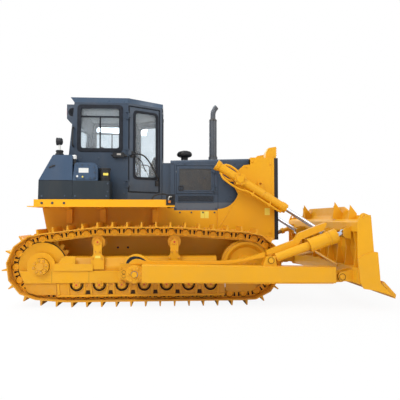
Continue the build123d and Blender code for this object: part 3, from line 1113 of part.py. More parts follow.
def make_blade():
    face = [(2470, 1345), (2398, 1100), (2372, 860), (2420, 620), (2600, 385)]
    back = [(2560, 345), (2388, 610), (2346, 860), (2374, 1100), (2440, 1345)]
    blade = plate_xz(face + back, -BLADE_HALF + 30, BLADE_HALF - 30)
    top_beam = [(2262, 1110), (2262, 1250, 30), (2330, 1285), (2440, 1285), (2380, 1110)]
    low_beam = [(2262, 380), (2500, 330), (2560, 350), (2400, 600), (2262, 600)]
    blade += plate_xz(top_beam, -BLADE_HALF + 30, BLADE_HALF - 30)
    blade += plate_xz(low_beam, -BLADE_HALF + 30, BLADE_HALF - 30)
    side = [(2262, 757), (2262, 1240), (2316, 1362, 30), (2358, 1376, 30), (2462, 1330, 30), (2497, 830),
            (2549, 822), (2581, 393), (2750, 215), (2490, 290), (2345, 312), (2290, 400)]
    wear = [(2264, 735), (2330, 780), (2497, 829), (2549, 822), (2581, 393), (2750, 215), (2490, 290),
            (2345, 312), (2290, 400)]
    rib = [(2262, 599), (2400, 599), (2372, 860), (2380, 1111), (2262, 1111), (2300, 860)]
    for s in (-1, 1):
        blade += plate_xz(side, *span(s * (BLADE_HALF - 31), s * (31 - WEAR_PLATE)))
        blade += plate_xz(wear, *span(s * (BLADE_HALF - 31), s * 31))
        blade -= disc_y(2347, 1326, 20, *span(s * (BLADE_HALF - 40), s * 41))
    for y in [s * share * BLADE_HALF for s in (-1, 1) for share in RIB_SHARES]:
        blade += plate_xz(rib, y - RIB_HALF, y + RIB_HALF)
    for s in (-1, 1):
        for way in (-1, 1):
            for cheek, middle, gap, thick in BLADE_CHEEKS:
                blade += plate_xz(cheek, *span(s * middle + way * gap, way * thick))
        blade += disc_y(*BLADE_PIN, BLADE_PIN_R, s * ARM_Y - 120, s * ARM_Y + 120)
        blade += ball_on_pin(*BLADE_PIN, s * ARM_Y, BLADE_BALL_R, BLADE_BALL_HALF)
        blade += disc_y(*STRUT_HEAD, HEAD_PIN_R, s * ARM_Y - 80, s * ARM_Y + 80)
        blade += ball_on_pin(*STRUT_HEAD, s * ARM_Y, HEAD_BALL_R, HEAD_BALL_HALF)
        blade += plate_xz(rectangle((2262, 2300), (900, 1111)), s * LIFT_Y - 140, s * LIFT_Y + 140)
    return blade


nodes["blade"] = make_blade()
edge = plate_xz([(2602, 384), (2632, 412), (2800, 228), (2788, 172), (2750, 214)], -BLADE_HALF, BLADE_HALF)
nodes["cutting_edge"] = edge - nodes["blade"]
spill = plate_yz([(-1330, 1330), (1330, 1330), (890, 1485), (-890, 1485)], 2440, 2462)
HORNS = (  # side y, inner y, rear x, apex x, apex z, front x
    (850.0, 730.0, 2270.0, 2313.0, 1560.0, 2450.0),
    (-850.0, -730.0, 2270.0, 2313.0, 1560.0, 2450.0),
    (-1390.0, -1190.0, 2320.0, 2350.0, 1500.0, 2450.0))
horns = []
HORN_FOOT = 1286.0
HORN_PLATE = 18.0
for outer_y, inner_y, rear_x, apex_x, apex_z, front_x in HORNS:
    plate = -math.copysign(HORN_PLATE, outer_y)
    fin = plate_xz([(rear_x, HORN_FOOT), (front_x, HORN_FOOT), (front_x, 1370), (apex_x, apex_z)],
                   *span(outer_y, plate))
    stay = plate_yz([(outer_y, HORN_FOOT), (inner_y, HORN_FOOT), (outer_y, apex_z - 60)],
                    *span(rear_x + 20, HORN_PLATE))
    horns.append(fin + stay)
nodes["spill_guard"] = group([piece - nodes["blade"] for piece in [spill] + horns])


# ================================================================ export
os.makedirs("parts", exist_ok=True)
for name, shape in nodes.items():
    export_step(shape, os.path.join("parts", name + ".step"))
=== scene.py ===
"""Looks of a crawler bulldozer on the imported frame: camera, light, finishes and fine detail."""

import math

import bmesh
import bpy
from mathutils import Matrix, Vector


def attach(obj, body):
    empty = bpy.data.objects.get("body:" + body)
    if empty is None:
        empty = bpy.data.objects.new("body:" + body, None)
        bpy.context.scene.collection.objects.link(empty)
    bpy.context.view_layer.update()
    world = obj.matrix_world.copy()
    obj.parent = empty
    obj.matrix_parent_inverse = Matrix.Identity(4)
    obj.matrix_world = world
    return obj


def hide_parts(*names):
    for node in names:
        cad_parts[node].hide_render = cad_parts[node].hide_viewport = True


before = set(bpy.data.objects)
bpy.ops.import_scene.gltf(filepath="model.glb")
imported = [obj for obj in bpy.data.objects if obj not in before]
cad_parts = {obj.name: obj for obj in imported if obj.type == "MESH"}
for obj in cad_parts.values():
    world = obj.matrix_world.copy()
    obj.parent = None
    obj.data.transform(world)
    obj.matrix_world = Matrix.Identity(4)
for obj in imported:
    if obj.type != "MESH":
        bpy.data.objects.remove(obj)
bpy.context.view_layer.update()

SIDES = (-1, 1)

# ---------------------------------------------------------------- camera
CAMERA_PLACE = (-0.376, -8.105, 1.294)
CAMERA_YAW = math.radians(3.867)
CAMERA_PITCH = math.radians(2.331)
CAMERA_LENS = 41.085


def shown(name, data):
    """A new object in the scene."""
    made = bpy.data.objects.new(name, data)
    bpy.context.scene.collection.objects.link(made)
    return made


def add_camera():
    data = bpy.data.cameras.new("camera")
    data.lens = CAMERA_LENS
    data.sensor_width = 36.0
    data.clip_end = 200.0
    camera = shown("camera", data)
    camera.location = CAMERA_PLACE
    camera.rotation_euler = (math.pi / 2 + CAMERA_PITCH, 0.0, -CAMERA_YAW)
    bpy.context.scene.camera = camera


# ---------------------------------------------------------------- shader graphs
EVEN = (1.0, 1.0, 1.0)
GRAIN = (0.3, 0.7)            # where most of a noise lies


class Graph:
    """A node tree and short ways to fill it."""

    def __init__(self, owner):
        owner.use_nodes = True
        self.owner = owner
        self.tree = owner.node_tree

    def node(self, kind, **settings):
        made = self.tree.nodes.new("ShaderNode" + kind)
        for key, value in settings.items():
            setattr(made, key, value)
        return made

    def feed(self, socket, value):
        if isinstance(value, bpy.types.NodeSocket):
            self.tree.links.new(value, socket)
        else:
            socket.default_value = value

    def maths(self, operation, *values):
        node = self.node("Math", operation=operation)
        for socket, value in zip(node.inputs, values):
            self.feed(socket, value)
        return node.outputs[0]

    def between(self, value, low, high, out_low=0.0, out_high=1.0):
        """value from low..high to out_low..out_high, held at the ends."""
        node = self.node("MapRange")
        for socket, number in zip(node.inputs, (value, low, high, out_low, out_high)):
            self.feed(socket, number)
        return node.outputs[0]


class Finish(Graph):
    """A material whose nodes read the machine's own coordinates, in metres."""

    def __init__(self, name):
        super().__init__(bpy.data.materials.new(name))
        self.place = self.node("TexCoord").outputs["Object"]

    def noise(self, scale, detail=3.0, roughness=0.55, stretch=EVEN):
        texture = self.node("TexNoise")
        for key, value in (("Scale", scale), ("Detail", detail), ("Roughness", roughness)):
            texture.inputs[key].default_value = value
        self.feed(texture.inputs["Vector"], self.stretched(stretch))
        return texture.outputs["Fac"]

    def cloud(self, low, high, *noise):
        return self.between(self.noise(*noise), low, high)

    def stretched(self, stretch):
        if stretch == EVEN:
            return self.place
        mapping = self.node("Mapping")
        mapping.inputs["Scale"].default_value = stretch
        self.feed(mapping.inputs["Vector"], self.place)
        return mapping.outputs["Vector"]

    def axis(self, name):
        split = self.node("SeparateXYZ")
        self.feed(split.inputs[0], self.place)
        return split.outputs[name]

    def bars(self, pitch, axis, sharpness=(0.35, 0.65)):
        """0 and 1 by turns along an axis, with that pitch."""
        turned = self.maths("MULTIPLY", self.axis(axis), 2 * math.pi / pitch)
        wave = self.maths("MULTIPLY_ADD", self.maths("SINE", turned), 0.5, 0.5)
        return self.between(wave, *sharpness)

    def mix(self, share, first, second):
        node = self.node("Mix", data_type="RGBA")
        for place, value in ((0, share), (6, colour(first)), (7, colour(second))):
            self.feed(node.inputs[place], value)
        return node.outputs[2]

    def bump(self, height, strength, distance, before=None):
        node = self.node("Bump")
        node.inputs["Strength"].default_value = strength
        node.inputs["Distance"].default_value = distance
        self.feed(node.inputs["Height"], height)
        if before is not None:
            self.feed(node.inputs["Normal"], before)
        return node.outputs["Normal"]

    def edges(self, radius):
        """1 on outer edges, from the angle between the rounded and the true normal."""
        bevel = self.node("Bevel", samples=4)
        bevel.inputs["Radius"].default_value = radius
        dot = self.node("VectorMath", operation="DOT_PRODUCT")
        self.feed(dot.inputs[0], bevel.outputs["Normal"])
        self.feed(dot.inputs[1], self.node("NewGeometry").outputs["True Normal"])
        return self.between(dot.outputs["Value"], 0.985, 0.88)

    def done(self, base, roughness, normal=None, metallic=0.0, **constants):
        shader = self.tree.nodes["Principled BSDF"].inputs
        self.feed(shader["Base Color"], base)
        self.feed(shader["Roughness"], roughness)
        self.feed(shader["Metallic"], metallic)
        if normal is not None:
            self.feed(shader["Normal"], normal)
        for key, value in constants.items():
            shader[key.replace("_", " ")].default_value = value
        return self.owner


def colour(value):
    return value if isinstance(value, bpy.types.NodeSocket) or len(value) == 4 else (*value, 1.0)


def toned(base, share):
    return tuple(share * c for c in base)


DUST = (0.46, 0.33, 0.16)
BARE_METAL = (0.42, 0.4, 0.37)


def painted(name, base, fade, dust_top, dust_most, gloss=0.36, wear=0.35, shine=0.2, coat=0.04, light_and_shade_below=None):
    """Sprayed paint: faded patches, dust up to a height, chipped edges and orange peel.

    The last argument is (height, tone): another tone under that height, as painted shade on the tanks and
    painted reflected light on the hood."""
    g = Finish(name)
    tone = g.mix(g.cloud(0.35, 0.68, 1.7, 4.0), base, fade)
    if light_and_shade_below:
        tone = g.mix(g.between(g.axis("Z"), light_and_shade_below[0] + 0.002, light_and_shade_below[0] - 0.002), tone, light_and_shade_below[1])
    streaks = g.cloud(0.5, 0.72, 5.0, 4.0, 0.6, (1.0, 1.0, 0.16))
    tone = g.mix(g.maths("MULTIPLY", streaks, 0.03), tone, DUST)
    low = g.between(g.axis("Z"), dust_top, 0.0)
    dust = g.maths("MULTIPLY", g.maths("MULTIPLY", low, g.cloud(0.36, 0.7, 6.5, 5.0, 0.65)), dust_most)
    tone = g.mix(dust, tone, DUST)
    chips = g.maths("MULTIPLY", g.edges(0.006), g.cloud(0.52, 0.6, 38.0, 3.0, 0.7))
    tone = g.mix(g.maths("MULTIPLY", chips, wear), tone, BARE_METAL)
    rough = g.between(g.noise(9.0, 4.0), *GRAIN, gloss - 0.05, gloss + 0.1)
    rough = g.maths("MULTIPLY_ADD", dust, 0.35, rough)
    peel = g.bump(g.noise(420.0, 2.0), 0.06, 0.002)
    normal = g.bump(g.noise(2.6, 2.0), 0.22, 0.01, peel)
    return g.done(tone, rough, normal, Coat_Weight=coat, Coat_Roughness=0.22, Specular_IOR_Level=shine)


def steel(name, base, rough, stain_share, stain=(0.2, 0.13, 0.08)):
    """Bare or machined steel with stains and fine tool marks."""
    g = Finish(name)
    tone = g.mix(g.cloud(0.4, 0.72, 7.0, 4.0), base, toned(base, 0.72))
    tone = g.mix(g.maths("MULTIPLY", g.cloud(0.52, 0.7, 16.0, 5.0, 0.7), stain_share), tone, stain)
    marks = g.noise(90.0, 3.0, 0.6)
    return g.done(tone, g.between(marks, *GRAIN, rough - 0.06, rough + 0.1), g.bump(marks, 0.1, 0.001), 0.9)


def chrome(name):
    g = Finish(name)
    tone = g.mix(g.cloud(0.4, 0.7, 9.0), (0.62, 0.68, 0.78), (0.5, 0.55, 0.64))
    marks = g.noise(60.0, 2.0, 0.5, (4.0, 4.0, 1.0))
    return g.done(tone, g.between(marks, *GRAIN, 0.1, 0.22), g.bump(marks, 0.04, 0.0005), 1.0)


def rubber(name, base=(0.008, 0.01, 0.015), rough=0.6):
    g = Finish(name)
    tone = g.mix(g.cloud(0.4, 0.7, 14.0, 4.0), base, toned(base, 1.8))
    rough = g.between(g.noise(25.0), *GRAIN, rough - 0.08, rough + 0.1)
    return g.done(tone, rough, g.bump(g.noise(700.0, 2.0), 0.15, 0.0006), Specular_IOR_Level=0.22)


def glazing(name):
    """Tinted cab glass with patches of a dust film."""
    g = Finish(name)
    film = g.cloud(0.45, 0.8, 4.0, 4.0, 0.6)
    tone = g.mix(film, (0.9, 0.96, 1.0), (0.78, 0.86, 0.91))
    return g.done(tone, g.between(film, 0.0, 1.0, 0.01, 0.05), Transmission_Weight=0.88, IOR=1.1)


def cloth(name, base=(0.03, 0.031, 0.034), fade=(0.05, 0.051, 0.054)):
    """Ribbed fabric."""
    g = Finish(name)
    ribs = g.bars(0.012, "Y")
    tone = g.mix(g.cloud(0.4, 0.7, 12.0, 4.0), base, fade)
    tone = g.mix(g.maths("MULTIPLY", ribs, 0.4), tone, toned(base, 0.5))
    fibres = g.bump(g.noise(900.0, 2.0), 0.3, 0.0008)
    return g.done(tone, 0.85, g.bump(ribs, 0.5, 0.002, fibres), Sheen_Weight=0.25)


def cast(name, base=(0.055, 0.057, 0.06)):
    g = Finish(name)
    tone = g.mix(g.cloud(0.38, 0.7, 8.0, 5.0, 0.65), base, (0.13, 0.11, 0.09))
    pits = g.noise(140.0, 4.0, 0.6)
    return g.done(tone, g.between(pits, *GRAIN, 0.55, 0.8), g.bump(pits, 0.35, 0.002), 0.3)


def lens(name, base, through):
    g = Finish(name)
    flutes = g.bars(0.012, "Y")
    tone = g.mix(g.maths("MULTIPLY", flutes, 0.25), base, toned(base, 0.7))
    rough = g.between(g.noise(30.0), *GRAIN, 0.08, 0.2)
    return g.done(tone, rough, g.bump(flutes, 0.4, 0.002), Transmission_Weight=through, IOR=1.45)


def perforated(name):
    """Dark sheet with rows of small holes."""
    g = Finish(name)
    # the holes are near-black dots with a bump: painted shade in place of openings
    holes = g.maths("MULTIPLY", g.bars(0.009, "X", (0.45, 0.6)), g.bars(0.009, "Z", (0.45, 0.6)))
    tone = g.mix(holes, (0.05, 0.052, 0.055), (0.008, 0.008, 0.009))
    haze = g.cloud(0.45, 0.75, 6.0, 4.0, 0.6)
    tone = g.mix(g.maths("MULTIPLY", haze, 0.35), tone, (0.12, 0.1, 0.075))
    return g.done(tone, g.between(haze, 0.0, 1.0, 0.45, 0.65), g.bump(holes, 0.6, -0.002))


YELLOW = ((0.79, 0.372, 0.009), (0.75, 0.36, 0.014))
TRACK_YELLOW = ((0.74, 0.335, 0.012), (0.66, 0.295, 0.018))
# a lighter copy of the yellow paint: painted light on the fenders, their tread and the outer track links
# and bosses
LIT_YELLOW = ((0.92, 0.42, 0.01), (0.86, 0.4, 0.016))
SLATE = ((0.034, 0.054, 0.088), (0.045, 0.066, 0.1))
CAB_SLATE = ((0.028, 0.046, 0.076), (0.036, 0.056, 0.088))
# a lighter copy of the slate paint: painted light on the cab roof
ROOF_LIT_SLATE = ((0.055, 0.092, 0.15), (0.062, 0.1, 0.16))
# a lighter, bluer copy of the slate paint: painted sky light on the tanks' sloped tops
TANK_SKY_LIT_SLATE = ((0.036, 0.07, 0.128), (0.044, 0.078, 0.136))
BLACK = ((0.016, 0.017, 0.02), (0.026, 0.027, 0.03))
SHADE = ((0.03, 0.015, 0.006), (0.022, 0.012, 0.006))
STACK = ((0.05, 0.058, 0.072), (0.065, 0.072, 0.085))
RED = ((0.62, 0.03, 0.022), (0.52, 0.035, 0.028))
WHITE = ((0.78, 0.78, 0.76), (0.7, 0.7, 0.68))
STICKER = ((0.86, 0.7, 0.1), (0.8, 0.64, 0.12))
# the tanks' vertical sides below this height are darker: painted shade
TANK_SHADE_BELOW = (1.866, (0.016, 0.024, 0.032))
# the hood's sides below this height are lighter: painted reflected light
HOOD_LIT_BELOW = (1.562, (0.105, 0.12, 0.145))

FINISHES = {
    "yellow": painted("yellow_paint", *YELLOW, 1.1, 0.1),
    "track_yellow": painted("track_paint", *TRACK_YELLOW, 1.2, 0.24, 0.46, 0.6),
    "bright": painted("fender_paint", *LIT_YELLOW, 1.0, 0.1),
    "slate": painted("slate_paint", *SLATE, 1.6, 0.1, 0.32, 0.15, 0.4),
    "cab": painted("cab_paint", *CAB_SLATE, 1.6, 0.1, 0.34, 0.15, 0.3),
    "roof": painted("roof_paint", *ROOF_LIT_SLATE, 1.6, 0.1, 0.3, 0.1, 0.4),
    "tank": painted("tank_paint", *TANK_SKY_LIT_SLATE, 1.6, 0.05, 0.34, 0.15, 0.35, light_and_shade_below=TANK_SHADE_BELOW),
    "hood": painted("hood_paint", *SLATE, 1.6, 0.1, 0.32, 0.15, 0.4, light_and_shade_below=HOOD_LIT_BELOW),
    "black": painted("black_paint", *BLACK, 1.0, 0.2, 0.48, 0.25),
    "gap": painted("shaded_gap", *SHADE, 1.0, 0.05, 0.6, 0.0, 0.1),
    "stack": painted("stack_paint", *STACK, 1.0, 0.1, 0.42, 0.1, 0.5),
    "chrome": chrome("chrome_rod"),
    "worn": steel("worn_steel", (0.46, 0.44, 0.41), 0.36, 0.45),
    "dark_steel": steel("dark_steel", (0.1, 0.098, 0.095), 0.5, 0.5),
    "cast": cast("cast_engine"),
    "glass": glazing("cab_glazing"),
    "cloth": cloth("seat_cloth"),
    "lining": cloth("headlining", (0.42, 0.44, 0.46), (0.5, 0.52, 0.54)),
    "rubber": rubber("rubber_seal"),
    "orange": lens("orange_lens", (0.95, 0.3, 0.03), 0.45),
    "clear": lens("lamp_lens", (0.82, 0.84, 0.84), 0.35),
    "red": painted("red_cap", *RED, 1.0, 0.3),
    "white": painted("blank_label", *WHITE, 1.0, 0.2),
    "label": painted("blank_sticker", *STICKER, 1.0, 0.2),
    "mesh": perforated("perforated_panel"),
}
SLOT_FINISHES = {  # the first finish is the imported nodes' own
    "yellow_paint": "yellow bright track_yellow", "slate_paint": "slate tank hood cab roof",
    "black_paint": "black rubber mesh stack gap", "chrome_rod": "chrome", "cast_engine": "cast",
    "cab_glazing": "glass", "seat_cloth": "cloth lining", "orange_lens": "orange red label",
    "lamp_lens": "clear white", "worn_steel": "worn dark_steel",
}
NODE_FINISHES = {
    "track_yellow": "track_left track_right track_rollers carrier_rollers sprockets roller_guards "
                    "cutting_edge",
    # the fenders take the lighter yellow, as painted light
    "bright": "fenders", "black": "work_lamps", "stack": "exhaust_stack",
    "tank": "fuel_tank hydraulic_tank",
    "hood": "hood_sides", "cab": "cab_shell cab_door_left cab_door_right", "roof": "cab_roof",
}
NODE_FINISH = {node: finish for finish, nodes in NODE_FINISHES.items() for node in nodes.split()}


def finish_nodes():
    """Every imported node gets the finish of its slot, or its own."""
    for name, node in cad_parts.items():
        for place in node.material_slots:
            slot = place.material.name.split(".")[0] if place.material else "yellow_paint"
            usual = SLOT_FINISHES.get(slot, "yellow").split()[0]
            place.material = FINISHES[NODE_FINISH.get(name, usual)]


# ---------------------------------------------------------------- stage
FLOOR_HALF = 60.0
FLOOR_FADE = (3.0, 8.0, 0.92, 1.0)   # from 3 m to 8 m away its glow rises from the one share to the other
WORLD_LIGHT = 0.55


def add_stage():
    """A pale floor and a world that look white to the camera and keep the machine's shadow."""
    mesh = bpy.data.meshes.new("floor")
    corners = [(x * FLOOR_HALF, y * FLOOR_HALF, 0) for x, y in ((-1, -1), (1, -1), (1, 1), (-1, 1))]
    mesh.from_pydata(corners, [], [(0, 1, 2, 3)])
    mesh.materials.append(floor_material())
    floor = shown("floor", mesh)
    floor.location.z = -0.002
    world = bpy.data.worlds.new("studio")
    bpy.context.scene.world = world
    g = Graph(world)
    back = g.tree.nodes["Background"].inputs
    back["Color"].default_value = (1.0, 1.0, 1.0, 1.0)
    rays = g.node("LightPath").outputs
    seen = g.maths("MAXIMUM", rays["Is Camera Ray"], rays["Is Transmission Ray"])
    seen = g.maths("MAXIMUM", seen, rays["Is Glossy Ray"])
    g.feed(back["Strength"], g.between(seen, 0.0, 1.0, WORLD_LIGHT, 1.0))


def floor_material():
    g = Graph(bpy.data.materials.new("floor"))
    plain = g.tree.nodes["Principled BSDF"]
    plain.inputs["Base Color"].default_value = (0.8, 0.8, 0.8, 1.0)
    plain.inputs["Roughness"].default_value = 0.9
    away = g.node("VectorMath", operation="LENGTH")
    g.feed(away.inputs[0], g.node("NewGeometry").outputs["Position"])
    glow = g.between(away.outputs["Value"], *FLOOR_FADE)
    mixed = g.node("MixShader")
    g.feed(mixed.inputs[0], g.maths("MULTIPLY", g.node("LightPath").outputs["Is Camera Ray"], glow))
    g.feed(mixed.inputs[1], plain.outputs[0])
    g.feed(mixed.inputs[2], g.node("Emission").outputs[0])
    g.feed(g.tree.nodes["Material Output"].inputs["Surface"], mixed.outputs[0])
    return g.owner


LAMPS = {  # place, power, size, colour
    "key": ((-5.0, -7.5, 8.0), 560.0, 5.0, (1.0, 0.98, 0.95)),
    "fill": ((7.0, -6.0, 5.0), 230.0, 5.0, (1.0, 0.98, 0.95)),
    "back": ((-3.0, 7.0, 6.5), 480.0, 5.0, (1.0, 1.0, 1.0)),
    "sky": ((-3.5, -0.5, 9.0), 420.0, 8.0, (0.72, 0.86, 1.0)),
}
LAMP_AIM = Vector((0.0, 0.0, 1.2))


def add_lamps():
    for name, (place, power, size, tint) in LAMPS.items():
        data = bpy.data.lights.new(name, "AREA")
        data.color, data.energy, data.size = tint, power, size
        lamp = shown(name, data)
        lamp.location = place
        lamp.rotation_euler = (LAMP_AIM - Vector(place)).to_track_quat("-Z", "Y").to_euler()


# ---------------------------------------------------------------- outlines and places
RIGHT, UP, OUT_RIGHT = (1, 0, 0), (0, 0, 1), (0, -1, 0)


def laid(origin, across=RIGHT, up=UP):
    """A matrix that lays local X and Y along two machine directions; local Z faces out."""
    across, up = Vector(across).normalized(), Vector(up).normalized()
    turn = Matrix((across, up, across.cross(up))).transposed()
    return Matrix.Translation(origin) @ turn.to_4x4()


def on_side(y):
    """A place on a right-hand face: local X forward, local Y up, facing out to the right."""
    return laid((0, y, 0))


def on_top(x=0.0, y=0.0, z=0.0):
    """A place that faces up: local X forward, local Y to the machine's left."""
    return laid((x, y, z), RIGHT, (0, 1, 0))


def on_front(x, y=0.0, z=0.0):
    """Facing forward: local X to the machine's left, local Y up."""
    return laid((x, y, z), (0, 1, 0))


def round_corners(points, steps=5):
    """(x, y) or (x, y, radius) points as a closed outline with rounded corners."""
    made = []
    for i, point in enumerate(points):
        here = Vector(point[:2])
        if len(point) < 3:
            made.append(tuple(here))
            continue
        back = (Vector(points[i - 1][:2]) - here).normalized()
        ahead = (Vector(points[(i + 1) % len(points)][:2]) - here).normalized()
        reach = point[2] / math.tan(back.angle(ahead) / 2)
        start, stop = here + back * reach, here + ahead * reach
        for step in range(steps + 1):
            t = step / steps
            made.append(tuple((1 - t) ** 2 * start + 2 * t * (1 - t) * here + t ** 2 * stop))
    return made


def rectangle(x, y, radius=0.0, grow=0.0):
    (x0, x1), (y0, y1) = (x[0] - grow, x[1] + grow), (y[0] - grow, y[1] + grow)
    corners = [(x0, y0), (x1, y0), (x1, y1), (x0, y1)]
    return round_corners([(*corner, radius) for corner in corners]) if radius else corners


def circle(x, y, radius, sides=24, start=0.0):
    turns = (start + 2 * math.pi * i / sides for i in range(sides))
    return [(x + radius * math.cos(t), y + radius * math.sin(t)) for t in turns]


def arc(x, y, radius, start, stop, steps):
    """Points along a part of a circle; the angles are in degrees."""
    turns = [math.radians(start + (stop - start) * i / steps) for i in range(steps + 1)]
    return [(x + radius * math.cos(t), y + radius * math.sin(t)) for t in turns]


def arc_band(x, y, inner, outer, start, stop, steps=18):
    """A part of a ring, as a closed outline."""
    return arc(x, y, outer, start, stop, steps) + arc(x, y, inner, start, stop, steps)[::-1]


# ---------------------------------------------------------------- pieces
HULLS = ("hull", "hull")
ARMS = ("right_arm", "left_arm")
BLADES = ("blade_body", "blade_body")
DOORS = ("cab_door_body_right", "cab_door_body_left")
PANELS = ("engine_door_body_right", "engine_door_body_left")
LIFTS = ("lift_cylinder_right", "lift_cylinder_left")
STICKER_THICK = 0.0008
builds = []


class Build:
    """Collects shapes, in machine coordinates, into one piece or into a right-hand and a left-hand one."""

    def __init__(self, name, finish, bodies, bevel):
        self.mesh = bmesh.new()
        self.name, self.finish, self.bodies, self.bevel = name, finish, bodies, bevel
        builds.append(self)

    def take_curve(self, curve, place=Matrix()):
        holder = bpy.data.objects.new("holder", curve)
        data = bpy.data.meshes.new_from_object(holder)
        bpy.data.objects.remove(holder)
        bpy.data.curves.remove(curve)
        data.transform(place)
        self.mesh.from_mesh(data)
        bpy.data.meshes.remove(data)

    def flat(self, place, thick, bevel, *outlines):
        """A plate with softened edges from a closed outline and its holes, thick outward from its place."""
        curve = bpy.data.curves.new("plate", "CURVE")
        curve.dimensions = "2D"
        curve.fill_mode = "BOTH"
        curve.extrude = thick / 2 - bevel
        curve.bevel_depth = bevel
        curve.bevel_resolution = 1
        curve.offset = -bevel
        for outline in outlines:
            spline = curve.splines.new("POLY")
            spline.points.add(len(outline) - 1)
            for point, (x, y) in zip(spline.points, outline):
                point.co = (x, y, 0, 1)
            spline.use_cyclic_u = True
        self.take_curve(curve, place @ Matrix.Translation((0, 0, thick / 2)))

    def side(self, y, thick, bevel, *outlines):
        """A plate on a right-hand face."""
        self.flat(on_side(y), thick, bevel, *outlines)

    def ring(self, y, thick, bevel, x, z, outer, inner, sides=24):
        self.side(y, thick, bevel, circle(x, z, outer, sides), circle(x, z, inner, sides)[::-1])

    def sticker(self, y, x, z, radius=0.0):
        self.side(y, STICKER_THICK, 0.0, rectangle(x, z, radius))

    def tube(self, points, radius, smooth=True):
        """A bent bar or pipe along points."""
        curve = bpy.data.curves.new("tube", "CURVE")
        curve.dimensions = "3D"
        curve.bevel_depth = radius
        curve.bevel_resolution = 3
        curve.use_fill_caps = True
        curve.resolution_u = 6
        spline = curve.splines.new("NURBS" if smooth else "POLY")
        spline.points.add(len(points) - 1)
        for point, place in zip(spline.points, points):
            point.co = (*place, 1)
        if smooth:
            spline.order_u = 3
            spline.use_endpoint_u = True
        self.take_curve(curve)

    def rod(self, start, stop, radius, sides=24, end_radius=None):
        """A round bar between two points, or a cone."""
        start, stop = Vector(start), Vector(stop)
        run = stop - start
        place = Matrix.Translation((start + stop) / 2) @ run.to_track_quat("Z", "Y").to_matrix().to_4x4()
        last = radius if end_radius is None else end_radius
        bmesh.ops.create_cone(self.mesh, cap_ends=True, segments=sides, radius1=radius, radius2=last,
                              depth=run.length, matrix=place)

    def stub(self, x, z, y0, y1, radius, sides=24, end_radius=None):
        """A round bar that stands out to the side."""
        self.rod((x, y0, z), (x, y1, z), radius, sides, end_radius)

    def bolt(self, place, out=OUT_RIGHT, across=0.03, head=0.014):
        """A washer and a hexagon head with a chamfered top."""
        place, out = Vector(place), Vector(out).normalized()
        washer = place + out * 0.004
        corner_r = across / math.sqrt(3)
        self.rod(place - out * 0.001, washer, across * 0.72, 16)
        self.rod(washer, washer + out * head * 0.75, corner_r, 6)
        self.rod(washer + out * head * 0.75, washer + out * head, corner_r, 6, across * 0.45)

    def row(self, y, across, head, *spots):
        """Bolts at (x, z) spots in a right-hand face."""
        for x, z in spots:
            self.bolt((x, y, z), OUT_RIGHT, across, head)

    def box(self, low, high):
        low, high = Vector(low), Vector(high)
        place = Matrix.Translation((low + high) / 2) @ Matrix.Diagonal((*(high - low), 1))
        bmesh.ops.create_cube(self.mesh, size=1.0, matrix=place)

    def turned(self, place, profile, sides=40):
        """(radius, height) rows turned about local Z of a place."""
        rings = [[self.mesh.verts.new(place @ Vector((x, y, height)))
                  for x, y in circle(0, 0, max(radius, 1e-4), sides)] for radius, height in profile]
        for low, high in zip(rings, rings[1:]):
            for i in range(sides):
                k = (i + 1) % sides
                self.mesh.faces.new((low[i], low[k], high[k], high[i]))

    def done(self):
        """Makes the piece; where it has two bodies, the second one carries its mirror image."""
        for body, tail in zip(self.bodies, ("_right", "_left") if len(self.bodies) > 1 else ("",)):
            data = bpy.data.meshes.new(self.name + tail)
            self.mesh.to_mesh(data)
            placed(self.name + tail, data, self.finish, body, self.bevel)
            bmesh.ops.scale(self.mesh, vec=(1, -1, 1), verts=self.mesh.verts)
            bmesh.ops.reverse_faces(self.mesh, faces=self.mesh.faces)
        self.mesh.free()


def placed(name, data, finish, body, bevel):
    piece = shown(name, data)
    data.materials.append(FINISHES[finish])
    for face in data.polygons:
        face.use_smooth = True
    data.set_sharp_from_angle(angle=math.radians(35))
    if bevel:
        edge = piece.modifiers.new("edges", "BEVEL")
        edge.width = bevel
        edge.segments = 2
        edge.limit_method = "ANGLE"
        edge.harden_normals = False
    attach(piece, body)


def one(name, finish, body="hull", bevel=0.0):
    return Build(name, finish, (body,), bevel)


def both(name, finish, bodies=HULLS, bevel=0.0):
    """A right-hand piece, with its mirror image on the left-hand body."""
    return Build(name, finish, bodies, bevel)


# ---------------------------------------------------------------- tracks
PITCH_NOMINAL = 0.216
TEETH = 23
SPROCKET = (-2.256, 0.589)
SPROCKET_R = PITCH_NOMINAL / (2 * math.sin(2 * math.pi / TEETH))
IDLER = (0.815, 0.583)
IDLER_R = 0.43
CARRIER_XS = (-1.438, -0.296)
CARRIER_Z = 0.944
CARRIER_PIN_Z = 1.09
PIN_GROUND_Z = 0.153
ROLLER_XS = [-1.74 + 0.332 * i for i in range(7)]
ROLLER_Z = 0.313
SHOE_FACE = 0.081             # from a track pin out to the shoe's outer face
LINK_FACE = 1.115             # the outer rail's outer face, from the machine's centre plane


def wrap(centre, radius, start, stop):
    return arc(*centre, radius, start, stop, max(2, round(abs(stop - start) / 3)))


def touch(centre, radius, point, side):
    """The angle where a straight run through point leaves a circle, in degrees."""
    toward = math.atan2(point[1] - centre[1], point[0] - centre[0])
    return math.degrees(toward + side * math.acos(radius / math.dist(point, centre)))


